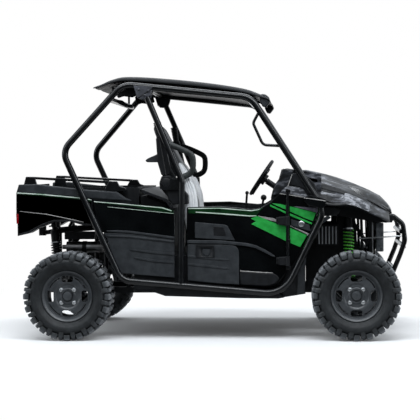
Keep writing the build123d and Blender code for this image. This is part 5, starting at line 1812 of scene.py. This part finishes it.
for label, (top_x, top_z), top_y, (foot_x, foot_z), foot_y, spring_finish in SHOCKS:
    top, foot = (top_x, -top_y, top_z), (foot_x, -foot_y, foot_z)
    length = (Vector(foot) - Vector(top)).length
    stand = along(top, foot)
    damper = turned(
        f"damper_{label}", [(share * length, radius) for share, radius in DAMPER], steps=28
    )
    eye = turned(
        "eye", [(-17, 0.01), (-17, 22), (-14, 24), (14, 24), (17, 22), (17, 0.01)], steps=24
    )
    eye.data.transform(Matrix.Translation((0, -8 * MM, 0)) @ Matrix.Rotation(radians(90), 4, "Z"))
    damper = join([damper, eye], f"damper_{label}")
    damper.data.transform(stand)
    dress_pair(damper, dark_plastic, right_nodes=("shock_absorbers",))
    collar = turned(
        f"collar_{label}",
        [(0.225 * length, 30), (0.225 * length, 40), (0.24 * length, 40), (0.24 * length, 30)],
        steps=28,
    )
    collar.data.transform(stand)
    dress_pair(collar, bright_zinc)
    helix = []
    for k in range(COIL_TURNS * COIL_POINTS + 1):
        share = k / (COIL_TURNS * COIL_POINTS)
        turn = share * COIL_TURNS * tau
        down = length * (SPRING_TOP + share * (SPRING_FOOT - SPRING_TOP))
        helix.append((40 * cos(turn), down, 40 * sin(turn)))
    coil = tube_along(f"spring_{label}", helix, 6, resolution=3)
    coil.data.transform(stand)
    dress_pair(coil, spring_finish, slot="spring_green")

# ---------------------------------------------------------------- radiator and oil cooler
# Aluminium tube-and-fin cores in black frames: the radiator upright behind the bumper, and a
# small ribbed cooler beside the right front wheel arch.
# Bare thin fins give a pale, even grey and no clear reflection.
fin_alloy = grained_finish(
    "bare aluminium fins", "#c4c8cc", (1.2, 0.1), metallic=0.45, roughness=0.5
)
FIRST_FIN_X, FIN_PITCH, FIN_COUNT = 812, 26.4, 6
# corners of the cooler's frame bars
COOLER_BARS = (
    (792, 700, 800, 852), (958, 700, 966, 852), (792, 844, 966, 854), (792, 698, 966, 708)
)
cooler_parts = [plate("frame_bar", box(*corners), 402, 334, 2) for corners in COOLER_BARS]
dress(join(cooler_parts, "cooler_frame"), dark_plastic, "chassis", "black_plastic", "side_cooler")
FIN_X = [FIRST_FIN_X + FIN_PITCH * k for k in range(FIN_COUNT)]
fins = [plate("fin", box(x - 5, 706, x + 5, 846), 400, 340, 3) for x in FIN_X]
dress(join(fins, "cooler_fins"), fin_alloy, "chassis", "bare_alloy")
dress(
    plate("cooler_core", box(800, 706, 958, 846), 386, 350, 0), dark_plastic, "chassis",
    "black_plastic",
)

RADIATOR_FRONT, RADIATOR_BACK = 1316, 1256
SLAT_COUNT, SLAT_PITCH = 22, 0.0098
pair(
    "radiator_tank", cast_alloy, box(RADIATOR_BACK, 640, RADIATOR_FRONT, 866), 290, 248, 8,
    slot="bare_alloy", right_nodes=("radiator",),
)
pair("fan_shroud", dark_plastic, [(1208, 800), (1286, 812), (1286, 925), (1208, 925)], 286, 200, 6)
slats = [plate("slat", box(1262, 648, 1308, 656), 250, -250, 0)]
for k in range(1, SLAT_COUNT):
    slats.append(copy_of(slats[0], "slat", Matrix.Translation((0, 0, SLAT_PITCH * k))))
slats.append(plate("core_sheet", box(1268, 646, 1302, 862), 249, -249, 0))
dress(join(slats, "radiator_core"), fin_alloy, "chassis", "bare_alloy")
HOSE_LINE = (
    (1250, -262, 845), (1226, -262, 842), (1214, -262, 800), (1214, -262, 700), (1200, -250, 640),
    (1120, -200, 600),
)
hose = tube_along("radiator_hose", HOSE_LINE, 14)
dress(hose, dark_plastic, "chassis", "black_plastic")
pair("radiator_strut", bright_zinc, box(1224, 560, 1234, 872), 306, 292, 3)
tie_bar = tube_along("bumper_tie_bar", ((1120, -330, 746), (1250, -334, 752), (1452, -336, 766)), 5)
dress_pair(tie_bar, bright_zinc)

# ---------------------------------------------------------------- exhaust
# Rolled stainless muffler with pressed end caps, hung behind the engine in a black strap round
# its middle, with a narrow stainless band at each end.
# Fine brush lines run round the drum, and spread each highlight out along it.
stainless, shader, tree = new_finish("brushed stainless steel", "#8f9092", 1.0, 0.34)
place = add_node(tree, "ShaderNodeTexCoord")
brush_lines = add_node(
    tree, "ShaderNodeMapping", {"Scale": (900, 30, 30)}, {"Vector": place.outputs["Object"]}
)
brushing = add_node(
    tree, "ShaderNodeTexNoise", {"Scale": 1.0, "Detail": 2.0},
    {"Vector": brush_lines.outputs["Vector"]},
)
bump = add_node(
    tree, "ShaderNodeBump", {"Strength": 0.25, "Distance": 0.3 * MM},
    {"Height": brushing.outputs["Fac"]},
)
tree.links.new(bump.outputs["Normal"], shader.inputs["Normal"])
add_mottle(tree, shader, place, 60, "#7c7a78", "#a3a4a6")
repaint("muffler", stainless)
MUFFLER_Y, MUFFLER_Z = -0.430, 0.695
# X, half width, finish
STRAPS = ((-1013, 16, dark_plastic), (-905, 8, stainless), (-1128, 8, stainless))
for x, half, finish in STRAPS:
    strap = turned("strap", [(-half, 43.5), (-half, 47), (half, 47), (half, 43.5)], steps=40)
    strap.data.transform(
        Matrix.Translation((x * MM, MUFFLER_Y, MUFFLER_Z)) @ Matrix.Rotation(radians(90), 4, "Z")
    )
    dress(strap, finish, "chassis", "muffler_steel")
